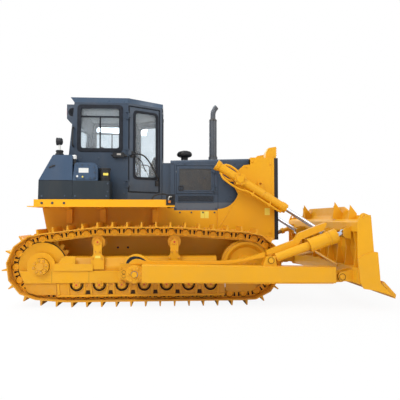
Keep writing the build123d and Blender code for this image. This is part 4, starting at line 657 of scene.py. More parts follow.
def track_pins():
    """The places of the track pins, evenly spaced round the loop, as (x, z)."""
    foot = (ROLLER_XS[0] - 0.15, PIN_GROUND_Z)
    low = touch(SPROCKET, SPROCKET_R, foot, -1) % 360
    top = touch(SPROCKET, SPROCKET_R, (CARRIER_XS[0], CARRIER_PIN_Z), 1) % 360
    front = touch(IDLER, IDLER_R, (CARRIER_XS[1], CARRIER_PIN_Z), -1)
    path = wrap(SPROCKET, SPROCKET_R, low, top) + [(x, CARRIER_PIN_Z) for x in CARRIER_XS]
    path += wrap(IDLER, IDLER_R, front, -90) + [foot]
    path.append(path[0])
    runs = [math.dist(a, b) for a, b in zip(path, path[1:])]
    count = round(sum(runs) / PITCH_NOMINAL)
    pitch = sum(runs) / count
    pins, travelled, wanted = [], 0.0, 0.0
    for (a, b), run in zip(zip(path, path[1:]), runs):
        while wanted <= travelled + run and len(pins) < count:
            share = (wanted - travelled) / run
            pins.append((a[0] + (b[0] - a[0]) * share, a[1] + (b[1] - a[1]) * share))
            wanted += pitch
        travelled += run
    return pins


WINDOWS = (  # corners of the two open windows between two bosses: share of the pitch along, metres outward
    ((0.255, 0.046), (0.4, 0.046), (0.385, -0.02), (0.31, -0.018)),
    ((0.57, 0.046), (0.73, 0.046), (0.675, -0.018), (0.6, -0.014)),
)
LINK_BOSS = 0.7              # a boss's place, as a share of the pitch past its pin
BOSS_R = 0.05
BOSS_PROFILE = ((BOSS_R, 0.0), (BOSS_R, 0.02), (BOSS_R - 0.01, 0.03), (0.022, 0.032), (0.02, 0.027),
                (0.001, 0.027))
SHOE_BOLTS = ((0.2, 1.095), (0.42, 1.095), (0.2, 0.905), (0.42, 0.905))   # share of the pitch, y


def steps_round(places):
    """Each place with the length and direction of the step to the next one, and the outward direction."""
    for here, ahead in zip(places, places[1:] + places[:1]):
        along = (ahead - here).normalized()
        yield here, (ahead - here).length, along, Vector((-along.z, 0, along.x))


def track_links():
    """Link plates with open windows and rounded bosses on the outer rails, and the shoes' bolts; the plates
    and bosses are a lighter yellow as painted light, and dark sheets behind the windows, over the bosses
    and round the sprocket are painted shade.
    """
    cover, plates = both("drive_gap_shade", "gap"), both("track_links", "bright")
    window_shade, bosses = both("link_window_shade", "gap"), both("link_bosses", "bright")
    bolts = both("shoe_bolts", "track_yellow")
    places = [Vector((x, -LINK_FACE, z)) for x, z in track_pins()]
    spots = [a.lerp(b, LINK_BOSS) for a, b in zip(places, places[1:] + places[:1])]
    for i, (here, pitch, along, out) in enumerate(steps_round(spots)):
        place = laid(here, along, out)
        body = round_corners([(-0.004, -0.04), (pitch * 0.5, -0.036), (pitch + 0.004, -0.04),
                              (pitch + 0.004, 0.058), (-0.004, 0.058)], 3)
        holes = [[(share * pitch, rise) for share, rise in window[::-1]] for window in WINDOWS]
        plates.flat(place, 0.011 if i % 2 else 0.009, 0.0015, body, *holes)
        # painted shade behind the windows and in an arc over each boss
        window_shade.flat(place, 0.001, 0.0, rectangle((pitch * 0.24, pitch * 0.75), (-0.024, 0.052)))
        window_shade.flat(place, 0.0125, 0.0, arc_band(0, 0, BOSS_R + 0.001, BOSS_R + 0.008, 12, 168))
        bosses.turned(place, BOSS_PROFILE, 24)
    for pin, pitch, along, out in steps_round(places):
        for share, y in SHOE_BOLTS:
            spot = pin + along * (share * pitch) + out * SHOE_FACE
            bolts.bolt((spot.x, -y, spot.z), out)
    # painted shade: a dark ring where the chain's inner edge meets the sprocket
    cover.ring(-LINK_FACE, 0.0125, 0.0, *SPROCKET, 0.361, 0.349, 72)


GUARD_FACE = -1.178           # the roller guards' outer face
GUARD_ARC_R = 0.1
SIDE_BAR_Z = 0.341


def roller_guard_trim():
    """The lips and ribs round the track rollers, painted shade in the gaps under and between them, and the
    guards' lower rail.
    """
    lips, gap_shade = both("guard_lips", "yellow"), both("guard_gap_shade", "gap")
    bolts = both("guard_bolts", "track_yellow")
    top_z, foot_z = SIDE_BAR_Z - 0.004, 0.168
    for x in ROLLER_XS:
        lips.side(GUARD_FACE, 0.012, 0.002,
                  arc_band(x, ROLLER_Z, GUARD_ARC_R, GUARD_ARC_R + 0.009, 180, 360))
        # painted shade: a dark half ring under each roller
        gap_shade.side(-1.166, 0.002, 0.0, arc_band(x, ROLLER_Z, 0.078, GUARD_ARC_R - 0.001, 178, 362))
        for side in SIDES:
            top, foot = x + side * 0.118, x + side * 0.098
            rib = [(top, top_z), (top + side * 0.016, top_z), (foot + side * 0.022, foot_z), (foot, foot_z)]
            lips.side(GUARD_FACE, 0.016, 0.003, rib[::side])
    for x in ROLLER_XS[:-1]:
        bolts.row(GUARD_FACE, 0.022, 0.014, (x + 0.144, 0.305), (x + 0.188, 0.305))
        # painted shade in the opening between two rollers
        gap = [(x + 0.14, 0.23), (x + 0.192, 0.23), (x + 0.2, 0.172), (x + 0.132, 0.172)]
        gap_shade.side(GUARD_FACE, 0.0015, 0.0, gap)
    lips.side(GUARD_FACE, 0.018, 0.003, [(-2.01, 0.168), (-1.976, 0.168), (-2.0, 0.33), (-2.026, 0.33)])
    lips.side(GUARD_FACE, 0.019, 0.004, [(-2.02, 0.134), (0.462, 0.134), (0.462, 0.166), (-1.985, 0.166)])


FRAME_FACE = -1.2
CAP_FACE = -1.207             # the outer face of the eyes round the rollers' shafts
HUB_FACE = -1.262
HUB_BOLTS = (0.09, 8, 0.2)   # radius, count, turn


def track_frame_trim():
    """Caps and plugs of the rollers, bolts of the frames and the drive hubs' covers."""
    caps, plugs = both("roller_caps", "track_yellow"), both("roller_plugs", "red")
    bolts, seams = both("frame_bolts", "track_yellow"), both("frame_seams_and_shade", "gap")
    label, tail = one("frame_label", "label"), both("frame_tails", "yellow")
    for x in ROLLER_XS:
        caps.stub(x, ROLLER_Z, CAP_FACE, -1.216, 0.036, 24, 0.032)
        plugs.stub(x, ROLLER_Z, -1.215, -1.219, 0.013, 14)
        bolts.row(CAP_FACE, 0.015, 0.014, *circle(x, ROLLER_Z, 0.047, 4, 0.8))
    for x in CARRIER_XS:
        caps.stub(x, CARRIER_Z, -1.199, -1.212, 0.046, 28, 0.04)
        plugs.stub(x, CARRIER_Z, -1.211, -1.215, 0.014, 14)
        for side in SIDES:
            bolts.row(-1.199, 0.026, 0.014, (x + side * 0.07, 0.7))
            bolts.row(-1.199, 0.024, 0.014, (x + side * 0.036, 0.8))
    caps.stub(*SPROCKET, HUB_FACE, -1.276, 0.06, 40, 0.052)
    seams.ring(FRAME_FACE, 0.002, 0.0, *SPROCKET, 0.125, 0.118, 48)
    for x in (-2.1, -1.56, -1.0, -0.3, 0.2):
        seams.box((x - 0.0015, -1.2006, 0.35), (x + 0.0015, -1.199, 0.512))
    hub_bolts = circle(*SPROCKET, *HUB_BOLTS)
    bolts.row(HUB_FACE, 0.028, 0.014, *hub_bolts)
    # painted shade: a dark disc under each hub bolt's head
    for spot in hub_bolts:
        seams.side(HUB_FACE, 0.0012, 0.0, circle(*spot, 0.0215))
    caps.stub(*IDLER, -1.213, -1.222, 0.05, 28)
    bolts.row(FRAME_FACE, 0.03, 0.014, *((x, 0.6) for x in (0.7, 0.76, 0.87, 0.93)))
    label.sticker(-1.2002, (-1.47, -1.395), (0.706, 0.742))
    outline = [(-2.069, 0.52), (-1.76, 0.52), (-1.76, 0.738), (-1.912, 0.738, 0.04), (-1.963, 0.704, 0.03),
               (-2.005, 0.634, 0.02), (-2.069, 0.626)]
    tail.side(-1.192, 0.02, 0.004, round_corners(outline))
    tail.side(-1.2115, 0.006, 0.002, rectangle((-2.069, -1.5), (0.52, 0.624)))


# ---------------------------------------------------------------- hull, fenders and tanks
HULL_FACE = -0.6


def hull_trim():
    holes, bolts = both("hull_hole_shade", "rubber"), both("fender_bolts", "dark_steel")
    seams, tread = both("hull_seams", "yellow"), both("fender_tread", "bright")
    # dark discs as painted shade in two holes in the hull side
    for x in (-1.202, -1.041):
        holes.stub(x, 0.827, HULL_FACE, HULL_FACE - 0.0015, 0.018, 20)
    bolts.row(-1.2, 0.026, 0.01, *((x, 1.525) for x in (-2.261, -2.107, -1.936)))
    bolts.row(HULL_FACE, 0.02, 0.008, *((-0.2 + 0.19 * i, 1.395) for i in range(5)))
    for x in (-1.15, -0.42, 0.42):
        seams.box((x - 0.004, HULL_FACE - 0.003, 1.06), (x + 0.004, HULL_FACE + 0.002, 1.425))
    # the raised tread takes the lighter yellow, as painted light
    for i in range(18):
        for k in range(5):
            tilt = 0.012 if (i + k) % 2 else -0.012
            x, y = -1.24 + i * 0.045, -0.83 - k * 0.072
            tread.tube([(x - 0.012, y - tilt, 1.5805), (x + 0.012, y + tilt, 1.5805)], 0.003, False)


STEP_X, STEP_Y, STEP_Z = (-0.423, -0.285), (-1.21, -0.93), (1.498, 1.662)
RAIL_Y = -1.15


def step_and_rail():
    """The black step box ahead of the fender and the bent rail that runs back from it."""
    step, marker = both("step_frame", "black", bevel=0.002), both("step_markers", "orange")
    hook = both("step_hooks", "worn")
    (x0, x1), (y0, y1), (z0, z1) = STEP_X, STEP_Y, STEP_Z
    inner = rectangle((x0 + 0.026, x1 - 0.026), (z0 + 0.03, z1 - 0.05), 0.006)
    for y in STEP_Y:
        step.side(y + 0.007, 0.014, 0.002, rectangle(STEP_X, STEP_Z, 0.012), inner[::-1])
    low = z0 + 0.012
    for x, z in ((x1 - 0.012, low), (x0 + 0.012, low), ((x0 + x1) / 2, low), (x1 - 0.012, z1 - 0.012)):
        step.box((x - 0.012, y0, z - 0.008), (x + 0.012, y1, z + 0.008))
    rail = ((-0.632, 1.58), (-0.628, 1.63), (-0.568, 1.662), (-0.44, 1.678), (-0.395, 1.64))
    step.tube([(x, RAIL_Y, z) for x, z in rail], 0.013)
    step.box((x0, y0 + 0.01, z0), (x1, y0 + 0.014, z1))
    marker.side(y0, 0.016, 0.003, rectangle((-0.392, -0.352), (1.528, 1.566), 0.01))
    hook.tube([(-0.385, y0 - 0.008, 1.57), (-0.39, y0 - 0.01, 1.6), (-0.36, y0 - 0.01, 1.634),
               (-0.338, y0 - 0.008, 1.618)], 0.01)


TANK_FACE = -1.17
COVER_FACE = -1.1803
FILTER = (-1.362, -1.04)
BREATHER = (-1.812, -1.1)


def tank_trim():
    marks, cover = one("tank_marks", "label"), one("tank_cover", "tank")
    bolts, labels = both("tank_bolts", "slate"), one("tank_labels", "white")
    cap, canister = one("filler_caps", "white"), one("filter_canister", "black")
    seam = one("tank_seam", "rubber")
    cover.side(TANK_FACE - 0.0002, 0.01, 0.003, round_corners(
        [(-1.785, 1.885, 0.03), (-1.478, 1.885, 0.03), (-1.478, 2.118, 0.1), (-1.78, 2.118, 0.04)]))
    bolts.row(TANK_FACE - 0.01, 0.018, 0.008, (-1.765, 1.905), (-1.66, 1.902), (-1.56, 1.902),
              (-1.497, 1.905), (-1.495, 1.985), (-1.505, 2.06), (-1.58, 2.099), (-1.68, 2.1),
              (-1.762, 2.096), (-1.768, 2.0))
    bolts.row(TANK_FACE, 0.022, 0.008, *((x, 1.63) for x in (-2.27, -1.93, -1.78, -1.32)))
    bolts.row(TANK_FACE, 0.018, 0.008, (-1.3, 1.82), (-1.3, 1.7))
    labels.sticker(COVER_FACE, (-1.73, -1.585), (1.982, 2.052), 0.006)
    labels.side(COVER_FACE, STICKER_THICK, 0.0, circle(-1.752, 1.928, 0.016))
    marks.sticker(-1.1245, (-1.375, -1.3), (1.948, 1.985), 0.004)
    marks.side(COVER_FACE, STICKER_THICK, 0.0, circle(-1.673, 1.92, 0.013))
    cap.turned(on_top(*BREATHER, 2.194), [(0.001, 0.064), (0.026, 0.062), (0.036, 0.05), (0.038, 0.012),
                                          (0.034, 0.0), (0.001, 0.0)])
    cap.turned(on_top(-2.0, 0.9, 2.25), [(0.001, 0.045), (0.055, 0.043), (0.06, 0.033), (0.06, 0.006),
                                              (0.07, 0.0), (0.001, 0.0)])
    canister.turned(on_top(*BREATHER, 2.1), [(0.001, 0.0), (0.03, 0.0), (0.032, 0.07), (0.024, 0.094),
                                               (0.001, 0.096)], 32)
    canister.tube([(-2.169, -1.172, 2.056), (-2.14, -1.18, 2.07), (-2.105, -1.18, 2.084),
                   (-2.082, -1.172, 2.088)], 0.01)
    canister.turned(on_top(*FILTER), [(0.083, 1.865), (0.0835, 2.036), (0.093, 2.04), (0.093, 2.062),
                                      (0.08, 2.0655), (0.001, 2.066)], 56)
    canister.turned(on_top(*FILTER), [(0.084, 1.905), (0.0865, 1.908), (0.0865, 1.918), (0.084, 1.921)], 56)
    for y0, y1 in ((-1.1712, -1.169), (1.169, 1.1712)):
        seam.box((-2.318, y0, 1.862), (-1.828, y1, 1.87))


LAMP_FOOT = (-2.045, -1.05)
LAMP_Z = 2.47


def rear_lamps():
    """The work lamp on the tank: a rounded head, its lens, a bright stem and bolts on its foot."""
    head, glass = one("rear_lamp_head", "black"), one("rear_lamp_lens", "clear")
    stem = one("rear_lamp_stem", "white")
    backward = laid((*LAMP_FOOT, LAMP_Z), (0, -1, 0))
    head.turned(backward, [(0.058, 0.03), (0.0605, 0.036), (0.0605, 0.044), (0.052, 0.046),
                           (0.051, 0.04)], 36)
    glass.turned(backward, [(0.001, 0.045), (0.03, 0.0445), (0.051, 0.042)], 36)
    stem.rod((*LAMP_FOOT, 2.332), (*LAMP_FOOT, LAMP_Z - 0.05), 0.0185)
    stem.rod((*LAMP_FOOT, 2.336), (*LAMP_FOOT, 2.352), 0.032, 24, 0.02)
    for spot in circle(*LAMP_FOOT, 0.048, 4, math.pi / 4):
        head.bolt((*spot, 2.282), UP, 0.014, 0.007)
    head.turned(on_top(*LAMP_FOOT, 2.25), [
        (0.001, 0.0), (0.06, 0.0), (0.064, 0.006), (0.064, 0.028), (0.058, 0.034), (0.05, 0.036),
        (0.05, 0.052), (0.057, 0.056), (0.057, 0.076), (0.05, 0.084), (0.001, 0.086)], 36)


# ---------------------------------------------------------------- cab
CAB_SIDE = -0.78
CORNER = Vector((-1.037, -0.78, 0))
CORNER_END = Vector((-0.494, -0.45, 0))
SIDE_WINDOW = ((-1.822, -1.134), (2.37, 3.098))
DOOR = ((0.022, 0.573), (1.727, 3.098))
DOOR_GLASS = ((0.112, 0.531), (1.948, 3.028))
WINDSHIELD = ((-0.385, 0.385), (2.33, 3.06))
REAR_WINDOW = ((-0.56, 0.56), (2.33, 2.86))
REAR_FOOT, REAR_HEAD = Vector((-2.036, 0, 1.58)), Vector((-1.886, 0, 3.148))
WINDOW_R = 0.06
CORNER_WALL = laid(CORNER, CORNER_END - CORNER)   # local X from its rear edge, local Y up, facing out


def seal(build, window, place, width=0.016, thick=0.012, inside=0.046):
    """A rubber moulding round a window."""
    outer = rectangle(*window, WINDOW_R + width * 0.6, width)
    inner = rectangle(*window, max(0.012, WINDOW_R - inside * 0.4), -inside)
    build.flat(place, thick, 0.005, outer, inner[::-1])


def cab_seals():
    side, door = both("window_seals", "rubber"), both("door_seals", "rubber", DOORS)
    ends = one("end_seals", "rubber")
    seal(side, SIDE_WINDOW, on_side(CAB_SIDE))
    side.box((SIDE_WINDOW[0][0], -0.77, 2.914), (SIDE_WINDOW[0][1], -0.742, 2.936))
    side.box((-1.49, -0.764, 2.36), (-1.47, -0.744, 2.925))
    side.flat(CORNER_WALL, 0.005, 0.001, rectangle(*DOOR, 0.02, 0.016),
              rectangle(*DOOR, 0.012, 0.001)[::-1])
    seal(door, DOOR_GLASS, CORNER_WALL, 0.02, 0.01, 0.022)
    seal(ends, WINDSHIELD, on_front(CORNER_END.x), 0.026, 0.01, 0.02)
    lean = REAR_HEAD - REAR_FOOT
    low, high = REAR_WINDOW[1]
    start = REAR_FOOT + lean * ((low - REAR_FOOT.z) / lean.z)
    tall = (high - low) / lean.normalized().z
    seal(ends, (REAR_WINDOW[0], (0.0, tall)), laid(start, (0, -1, 0), lean), 0.03, 0.01, 0.02)


def cab_trim():
    handles, catch = both("grab_handles", "black"), both("door_catches", "black", bevel=0.004)
    label, bolts = one("catch_label", "worn"), both("cab_bolts", "slate")
    handle = ((-0.778, 2.44), (-0.84, 2.44), (-0.85, 2.48), (-0.85, 2.7), (-0.84, 2.74), (-0.778, 2.74))
    handles.tube([(-1.895, y, z) for y, z in handle], 0.013)
    catch.box((-1.272, -0.838, 2.262), (-1.09, -0.8, 2.342))
    catch.box((-1.24, -0.802, 2.278), (-1.12, -0.779, 2.328))
    catch.rod((-1.092, -0.818, 2.296), (-1.052, -0.812, 2.286), 0.022)
    catch.rod((-1.3, -0.812, 2.3), (-1.27, -0.812, 2.3), 0.012)
    label.sticker(-0.8385, (-1.205, -1.14), (2.3, 2.326), 0.004)
    bolts.row(CAB_SIDE, 0.018, 0.007, *((-1.095, z) for z in (1.7, 1.86, 2.08, 2.24)))
    bolts.row(CAB_SIDE, 0.018, 0.007, *((x, 2.262) for x in (-1.78, -1.5, -1.24)))
    for z in (1.8, 2.3, 2.9):
        bolts.bolt(CORNER_WALL @ Vector((0.598, z, 0)), CORNER_WALL.to_3x3() @ Vector(UP), 0.016, 0.006)


def door_trim():
    """The lever, the long curved pull rail and the latch of each cab door."""
    rail, latch = both("door_rails", "black", DOORS), both("door_latches", "black", DOORS)

    def on_door(*points):
        return [CORNER_WALL @ Vector(point) for point in points]

    rail.tube(on_door((0.075, 2.33, 0.0), (0.075, 2.33, 0.06), (0.13, 2.33, 0.075), (0.25, 2.32, 0.075),
                      (0.37, 2.2, 0.07), (0.48, 2.02, 0.065), (0.548, 1.93, 0.055), (0.55, 1.92, 0.0)),
              0.012)
    rail.tube(on_door((0.1, 2.3, 0.03), (0.2, 2.26, 0.05), (0.27, 2.12, 0.05), (0.3, 2.06, 0.03)), 0.007)
    latch.flat(CORNER_WALL, 0.014, 0.004, rectangle((0.04, 0.104), (2.27, 2.38), 0.012))
    latch.flat(CORNER_WALL, 0.02, 0.004, rectangle((0.5, 0.56), (1.83, 1.925), 0.012))
    latch.rod(*on_door((0.072, 2.3, 0.012), (0.072, 2.3, 0.04)), 0.016)
    latch.rod(*on_door((0.53, 1.875, 0.018), (0.53, 1.875, 0.03)), 0.018)


ROOF_Z = 3.22
VENT = (-1.985, 3.07)
AIR_BOX_SIDE = -0.42


def roof_trim():
    black = both("roof_lamp_cases", "black", bevel=0.006)
    lamp = both("roof_lamp_lenses", "clear", bevel=0.002)
    slate, vent = both("roof_trim", "slate", bevel=0.002), both("air_box_vents", "rubber")
    strips = both("air_box_reflectors", "red")
    black.box((-0.515, -0.44, 3.095), (-0.482, -0.35, 3.146))
    lamp.box((-0.483, -0.435, 3.1), (-0.479, -0.355, 3.141))
    slate.turned(on_top(-0.815, -0.48, ROOF_Z), [(0.001, 0.022), (0.03, 0.02), (0.036, 0.01),
                                                 (0.036, -0.001)])
    slate.turned(on_top(-1.78, -0.52, ROOF_Z), [(0.001, 0.03), (0.012, 0.028), (0.016, 0.0)])
    vent.ring(AIR_BOX_SIDE, 0.01, 0.002, *VENT, 0.072, 0.05, 32)
    vent.side(AIR_BOX_SIDE, 0.002, 0.0, circle(*VENT, 0.052, 32))
    for i in range(6):
        z = 3.034 + i * 0.015
        vent.box((-2.028, -0.427, z - 0.003), (-1.942, -0.419, z + 0.003))
    strips.box((-2.0835, -0.421, 3.02), (-2.0815, -0.38, 3.14))


CEILING = ((-1.825, 0.715), (-1.05, 0.715), (-0.565, 0.405))
LEVERS = ((-1.0, -0.4, 2.33), (-0.93, -0.38, 2.3), (-1.02, 0.4, 2.34), (-0.94, 0.38, 2.3))
KNOB = ((0.001, 0.05), (0.018, 0.042), (0.024, 0.02), (0.016, -0.01), (0.001, -0.014))


def cab_inside():
    """Seat cushions, levers and a pale headlining."""
    lining, levers = one("cab_lining", "lining"), one("lever_stems", "chrome")
    knobs, cushions = one("lever_knobs", "black"), one("seat_cushions", "cloth")
    base = one("seat_base", "black", bevel=0.02)
    lining.flat(on_top(z=3.122), 0.022, 0.006, [(x, -y) for x, y in CEILING] + [*CEILING[::-1]])
    for x, y, tall in LEVERS:
        levers.rod((x, y, 2.05), (x - 0.03, y, tall), 0.01)
        knobs.turned(Matrix.Translation((x - 0.03, y, tall)), KNOB, 20)
    cushion(cushions, (-1.235, 0.0, 1.96), (0.5, 0.56, 0.15))
    cushion(cushions, (-1.5, 0.0, 2.29), (0.14, 0.46, 0.52), math.radians(-11))
    for y in (-0.2795, 0.2795):
        cushion(cushions, (-1.26, y, 2.065), (0.34, 0.05, 0.045))
    base.box((-1.45, -0.23, 1.622), (-1.02, 0.23, 1.88))


CUSHION_STEPS = 8


def cushion(build, centre, size, lean=0.0):
    """A crowned cushion whose sides pull in between its corners."""
    turn = Matrix.Translation(centre) @ Matrix.Rotation(lean, 4, "Y")
    half = Vector(size) / 2
    thin = size.index(min(size))
    wide = [i for i in range(3) if i != thin]

    def spot(i, k, sense):
        a, b = 2 * i / CUSHION_STEPS - 1, 2 * k / CUSHION_STEPS - 1
        crown = (1 - a ** 4) * (1 - b ** 4)
        pull = 1 - 0.035 * (1 - crown)
        point = Vector((0, 0, 0))
        point[wide[0]] = half[wide[0]] * a * (1 - 0.04 * (1 - b * b)) * pull
        point[wide[1]] = half[wide[1]] * b * (1 - 0.04 * (1 - a * a)) * pull
        point[thin] = sense * half[thin] * (0.55 + 0.45 * crown)
        return build.mesh.verts.new(turn @ point)

    last, edge = CUSHION_STEPS, range(CUSHION_STEPS)
    rim = [(i, 0) for i in edge] + [(last, k) for k in edge]
    rim += [(last - i, last) for i in edge] + [(0, last - k) for k in edge]
    rims = []
    for sense in SIDES:
        grid = [[spot(i, k, sense) for k in range(last + 1)] for i in range(last + 1)]
        for i in edge:
            for k in edge:
                loop = (grid[i][k], grid[i + 1][k], grid[i + 1][k + 1], grid[i][k + 1])
                build.mesh.faces.new(loop[::sense])
        rims.append([grid[i][k] for i, k in rim])
    low, high = rims
    for i in range(len(rim)):
        k = (i + 1) % len(rim)
        build.mesh.faces.new((low[i], low[k], high[k], high[i]))


# ---------------------------------------------------------------- hood, exhaust and guard
PANEL = ((-0.256, 0.374), (1.716, 2.176))
LOUVRE = ((-0.226, 0.364), (1.572, 1.674))
HOOD_FACE = -0.5


def hood_trim():
    grid, frames = both("door_mesh", "mesh", PANELS), both("door_frames", "slate", PANELS)
    latch, slats = both("panel_latches", "black", PANELS), both("lower_louvres", "black")
    frame_edge, bolts = both("louvre_frames", "slate"), both("hood_bolts", "slate")
    seams = both("hood_seams", "rubber")
    grid.side(-0.4952, 0.0012, 0.0, rectangle(*PANEL, 0.012, -0.05))
    frames.side(-0.4955, 0.01, 0.003, rectangle(*PANEL, 0.016, -0.03), rectangle(*PANEL, 0.01, -0.05)[::-1])
    frames.stub(0.212, 1.975, -0.498, -0.51, 0.012)
    latch.side(HOOD_FACE, 0.014, 0.003, rectangle((-0.222, -0.14), (1.76, 1.842), 0.012),
               rectangle((-0.208, -0.154), (1.774, 1.828), 0.008)[::-1])
    latch.box((-0.186, -0.514, 1.778), (-0.176, -0.502, 1.824))
    (left, right), (low, high) = LOUVRE
    for i in range(7):
        z = low + 0.012 + i * 0.0125
        slats.box((left, -0.501, z), (right, -0.493, z + 0.0045))
    frame_edge.side(HOOD_FACE, 0.006, 0.002, rectangle(*LOUVRE, 0.006, 0.016),
                    rectangle(*LOUVRE, 0.004, 0.0)[::-1])
    bolts.row(HOOD_FACE, 0.02, 0.008, (-0.32, 2.215), (-0.12, 2.215), (0.5, 2.215), (0.72, 2.215),
                (-0.27, 1.46), (0.4, 1.46), (0.6, 1.6))
    for x in (-0.29, 0.44):
        seams.box((x - 0.003, -0.5012, 1.44), (x + 0.003, -0.499, 2.195))
    seams.box((-0.29, -0.5012, 1.7), (0.44, -0.499, 1.704))


STACK_X = 0.404
CLEANER_X = -0.106
BOWL = ((0.001, 2.5), (0.06, 2.498), (0.096, 2.488), (0.122, 2.47), (0.134, 2.445), (0.134, 2.418),
        (0.12, 2.398), (0.09, 2.386), (0.066, 2.38), (0.062, 2.37), (0.062, 2.25))


def stack_trim():
    clamps, cap = one("stack_clamps", "dark_steel"), one("precleaner_bowl", "black")
    for z, r in ((2.4, 0.072), (3.05, 0.071), (3.072, 0.052)):
        clamps.turned(on_top(STACK_X, 0, z), [(r - 0.006, -0.012), (r, -0.01), (r, 0.01),
                                              (r - 0.006, 0.012)], 48)
    clamps.turned(on_top(STACK_X, 0, 2.292), [(0.096, 0.0), (0.092, 0.012), (0.083, 0.05),
                                              (0.081, 0.06)], 48)
    clamps.row(-0.07, 0.016, 0.01, (STACK_X, 2.4), (STACK_X, 3.05))
    cap.turned(on_top(CLEANER_X), BOWL, 56)
    cap.turned(on_top(CLEANER_X), [(0.1345, 2.428), (0.135, 2.431), (0.135, 2.436), (0.1345, 2.439)], 56)


HOUSING_FACE = -0.62


def guard_trim():
    beads, lug = both("guard_beads", "yellow"), both("guard_lugs", "yellow")
    labels, bolts = both("hull_labels", "label"), both("housing_bolts", "yellow")
    beads.tube([(0.77, HOUSING_FACE, 1.67), (0.45, HOUSING_FACE, 1.16)], 0.006, False)
    beads.box((1.322, -0.6235, 0.96), (1.366, -0.6195, 2.304))
    lug.side(HOUSING_FACE, 0.03, 0.004, round_corners(
        [(1.08, 1.77), (1.215, 1.72), (1.2, 1.775, 0.03), (1.15, 1.905, 0.03), (1.095, 1.93, 0.03)]),
        circle(1.132, 1.868, 0.02)[::-1])
    labels.sticker(HOUSING_FACE - 0.0003, (1.205, 1.292), (1.352, 1.468))
    labels.sticker(HULL_FACE - 0.0003, (0.14, 0.205), (1.3, 1.415))
    labels.sticker(HULL_FACE - 0.0003, (0.21, 0.275), (1.3, 1.415))
    bolts.row(HOUSING_FACE, 0.026, 0.01, (1.3, 2.2), (1.3, 1.06), (1.0, 2.24), (0.9, 2.15),
                (0.7, 0.99))


HEAD_LAMP_YS = (-0.49, 0.49)


def head_lamps():
    """Rims, lenses and the louvred edge of the two guards on the radiator housing."""
    rims, glass = one("head_lamp_rims", "black"), one("head_lamp_lenses", "clear")
    teeth = one("head_lamp_louvres", "yellow", bevel=0.001)
    for y in HEAD_LAMP_YS:
        place = on_front(1.398, y, 2.396)
        rims.turned(place, [(0.0555, -0.04), (0.0575, -0.01), (0.0575, 0.003), (0.048, 0.005),
                            (0.047, 0.0)])
        glass.turned(place, [(0.001, 0.008), (0.026, 0.007), (0.047, 0.002)])
        for i in range(5):
            z = 2.352 + i * 0.03
            for tooth in (y - 0.067, y + 0.067):
                teeth.box((1.4165, tooth - 0.007, z), (1.43, tooth + 0.007, z + 0.01))


# ---------------------------------------------------------------- lift cylinders
LIFT_PIVOT = Vector((0.763, -0.79, 1.925))
LIFT_EYE = Vector((2.157, -0.79, 1.048))
LIFT_RUN = (LIFT_EYE - LIFT_PIVOT).normalized()
LIFT_UP = Vector((-LIFT_RUN.z, 0, LIFT_RUN.x))
LIFT_BANDS = ((-0.452, -0.425, 0.088), (-0.4, -0.385, 0.08), (0.79, 0.862, 0.08), (0.44, 0.458, 0.076))
LIFT_PIPE = ((-0.3, -0.075, 0.03), (-0.29, -0.13, 0.05), (-0.12, -0.15, 0.06), (0.08, -0.15, 0.06),
             (0.19, -0.1, 0.06), (0.3, -0.1, 0.06), (0.62, -0.1, 0.06), (0.8, -0.1, 0.06),
             (0.84, -0.095, 0.04), (0.84, -0.06, 0.02))


def on_lift(along, up=0.0, out=0.0):
    """A point beside the right lift cylinder: along it from its pivot, up from its axis, out sideways."""
    return LIFT_PIVOT + LIFT_RUN * along + LIFT_UP * up + Vector((0, -out, 0))


def lift_trim():
    yoke, pipes = both("lift_yokes", "yellow", LIFTS, 0.003), both("lift_pipes", "yellow", LIFTS)
    bolts = both("lift_bolts", "yellow", LIFTS)
    for low, high, radius in LIFT_BANDS:
        yoke.rod(on_lift(low), on_lift(high), radius, 40)
    for up, low, high in ((0.105, -0.33, -0.06), (-0.105, -0.33, -0.08)):
        yoke.tube([on_lift(low, up * 0.62), on_lift(low + 0.03, up), on_lift(high - 0.03, up),
                   on_lift(high, up * 0.62)], 0.02)
    middle, reach = on_lift(0, 0, 0.07), Vector((0.075, 0.012, 0.085))
    yoke.box(middle - reach, middle + reach)
    yoke.rod(on_lift(0, 0, 0.06), on_lift(0, 0, 0.1), 0.058, 32)
    for spot in circle(0, 0, 0.082, 4, math.pi / 4):
        bolts.bolt(on_lift(*spot, 0.082), OUT_RIGHT, 0.026, 0.014)
    for up, y in circle(0, 0, 0.055, 6):
        bolts.bolt(on_lift(0.89, up, -y), LIFT_RUN, 0.018, 0.01)
    pipes.tube([on_lift(*point) for point in LIFT_PIPE], 0.017)
    for along in (0.3, 0.62):
        yoke.rod(on_lift(along, -0.1, 0.03), on_lift(along, -0.1, 0.082), 0.026, 20)
        yoke.rod(on_lift(along, -0.05, 0.04), on_lift(along, -0.1, 0.055), 0.014, 12)


# ---------------------------------------------------------------- push arms and struts
TRUNNION = (-0.861, 0.51)
BLADE_PIN = (2.113, 0.455)
STRUT_FOOT = Vector((1.083, -1.542, 0.694))
STRUT_HEAD = Vector((2.192, -1.542, 1.086))
STRUT_RUN = (STRUT_HEAD - STRUT_FOOT).normalized()
STRUT_UP = Vector((-STRUT_RUN.z, 0, STRUT_RUN.x))
ELBOW = ((-0.966, 0.64), (-1.0, 0.65), (-0.995, 0.7), (-0.961, 0.745), (-0.904, 0.776), (-0.847, 0.785),
         (-0.776, 0.773), (-0.705, 0.732), (-0.648, 0.694), (-0.505, 0.668), (-0.505, 0.636))
ELBOW_SHADE = ((-0.988, 0.655), (-0.972, 0.7), (-0.932, 0.741), (-0.876, 0.757), (-0.805, 0.75),
               (-0.74, 0.721),
               (-0.7, 0.689), (-0.74, 0.697), (-0.795, 0.717), (-0.847, 0.722), (-0.9, 0.706),
               (-0.936, 0.675), (-0.948, 0.655))
BRACKET_FACE = -1.26
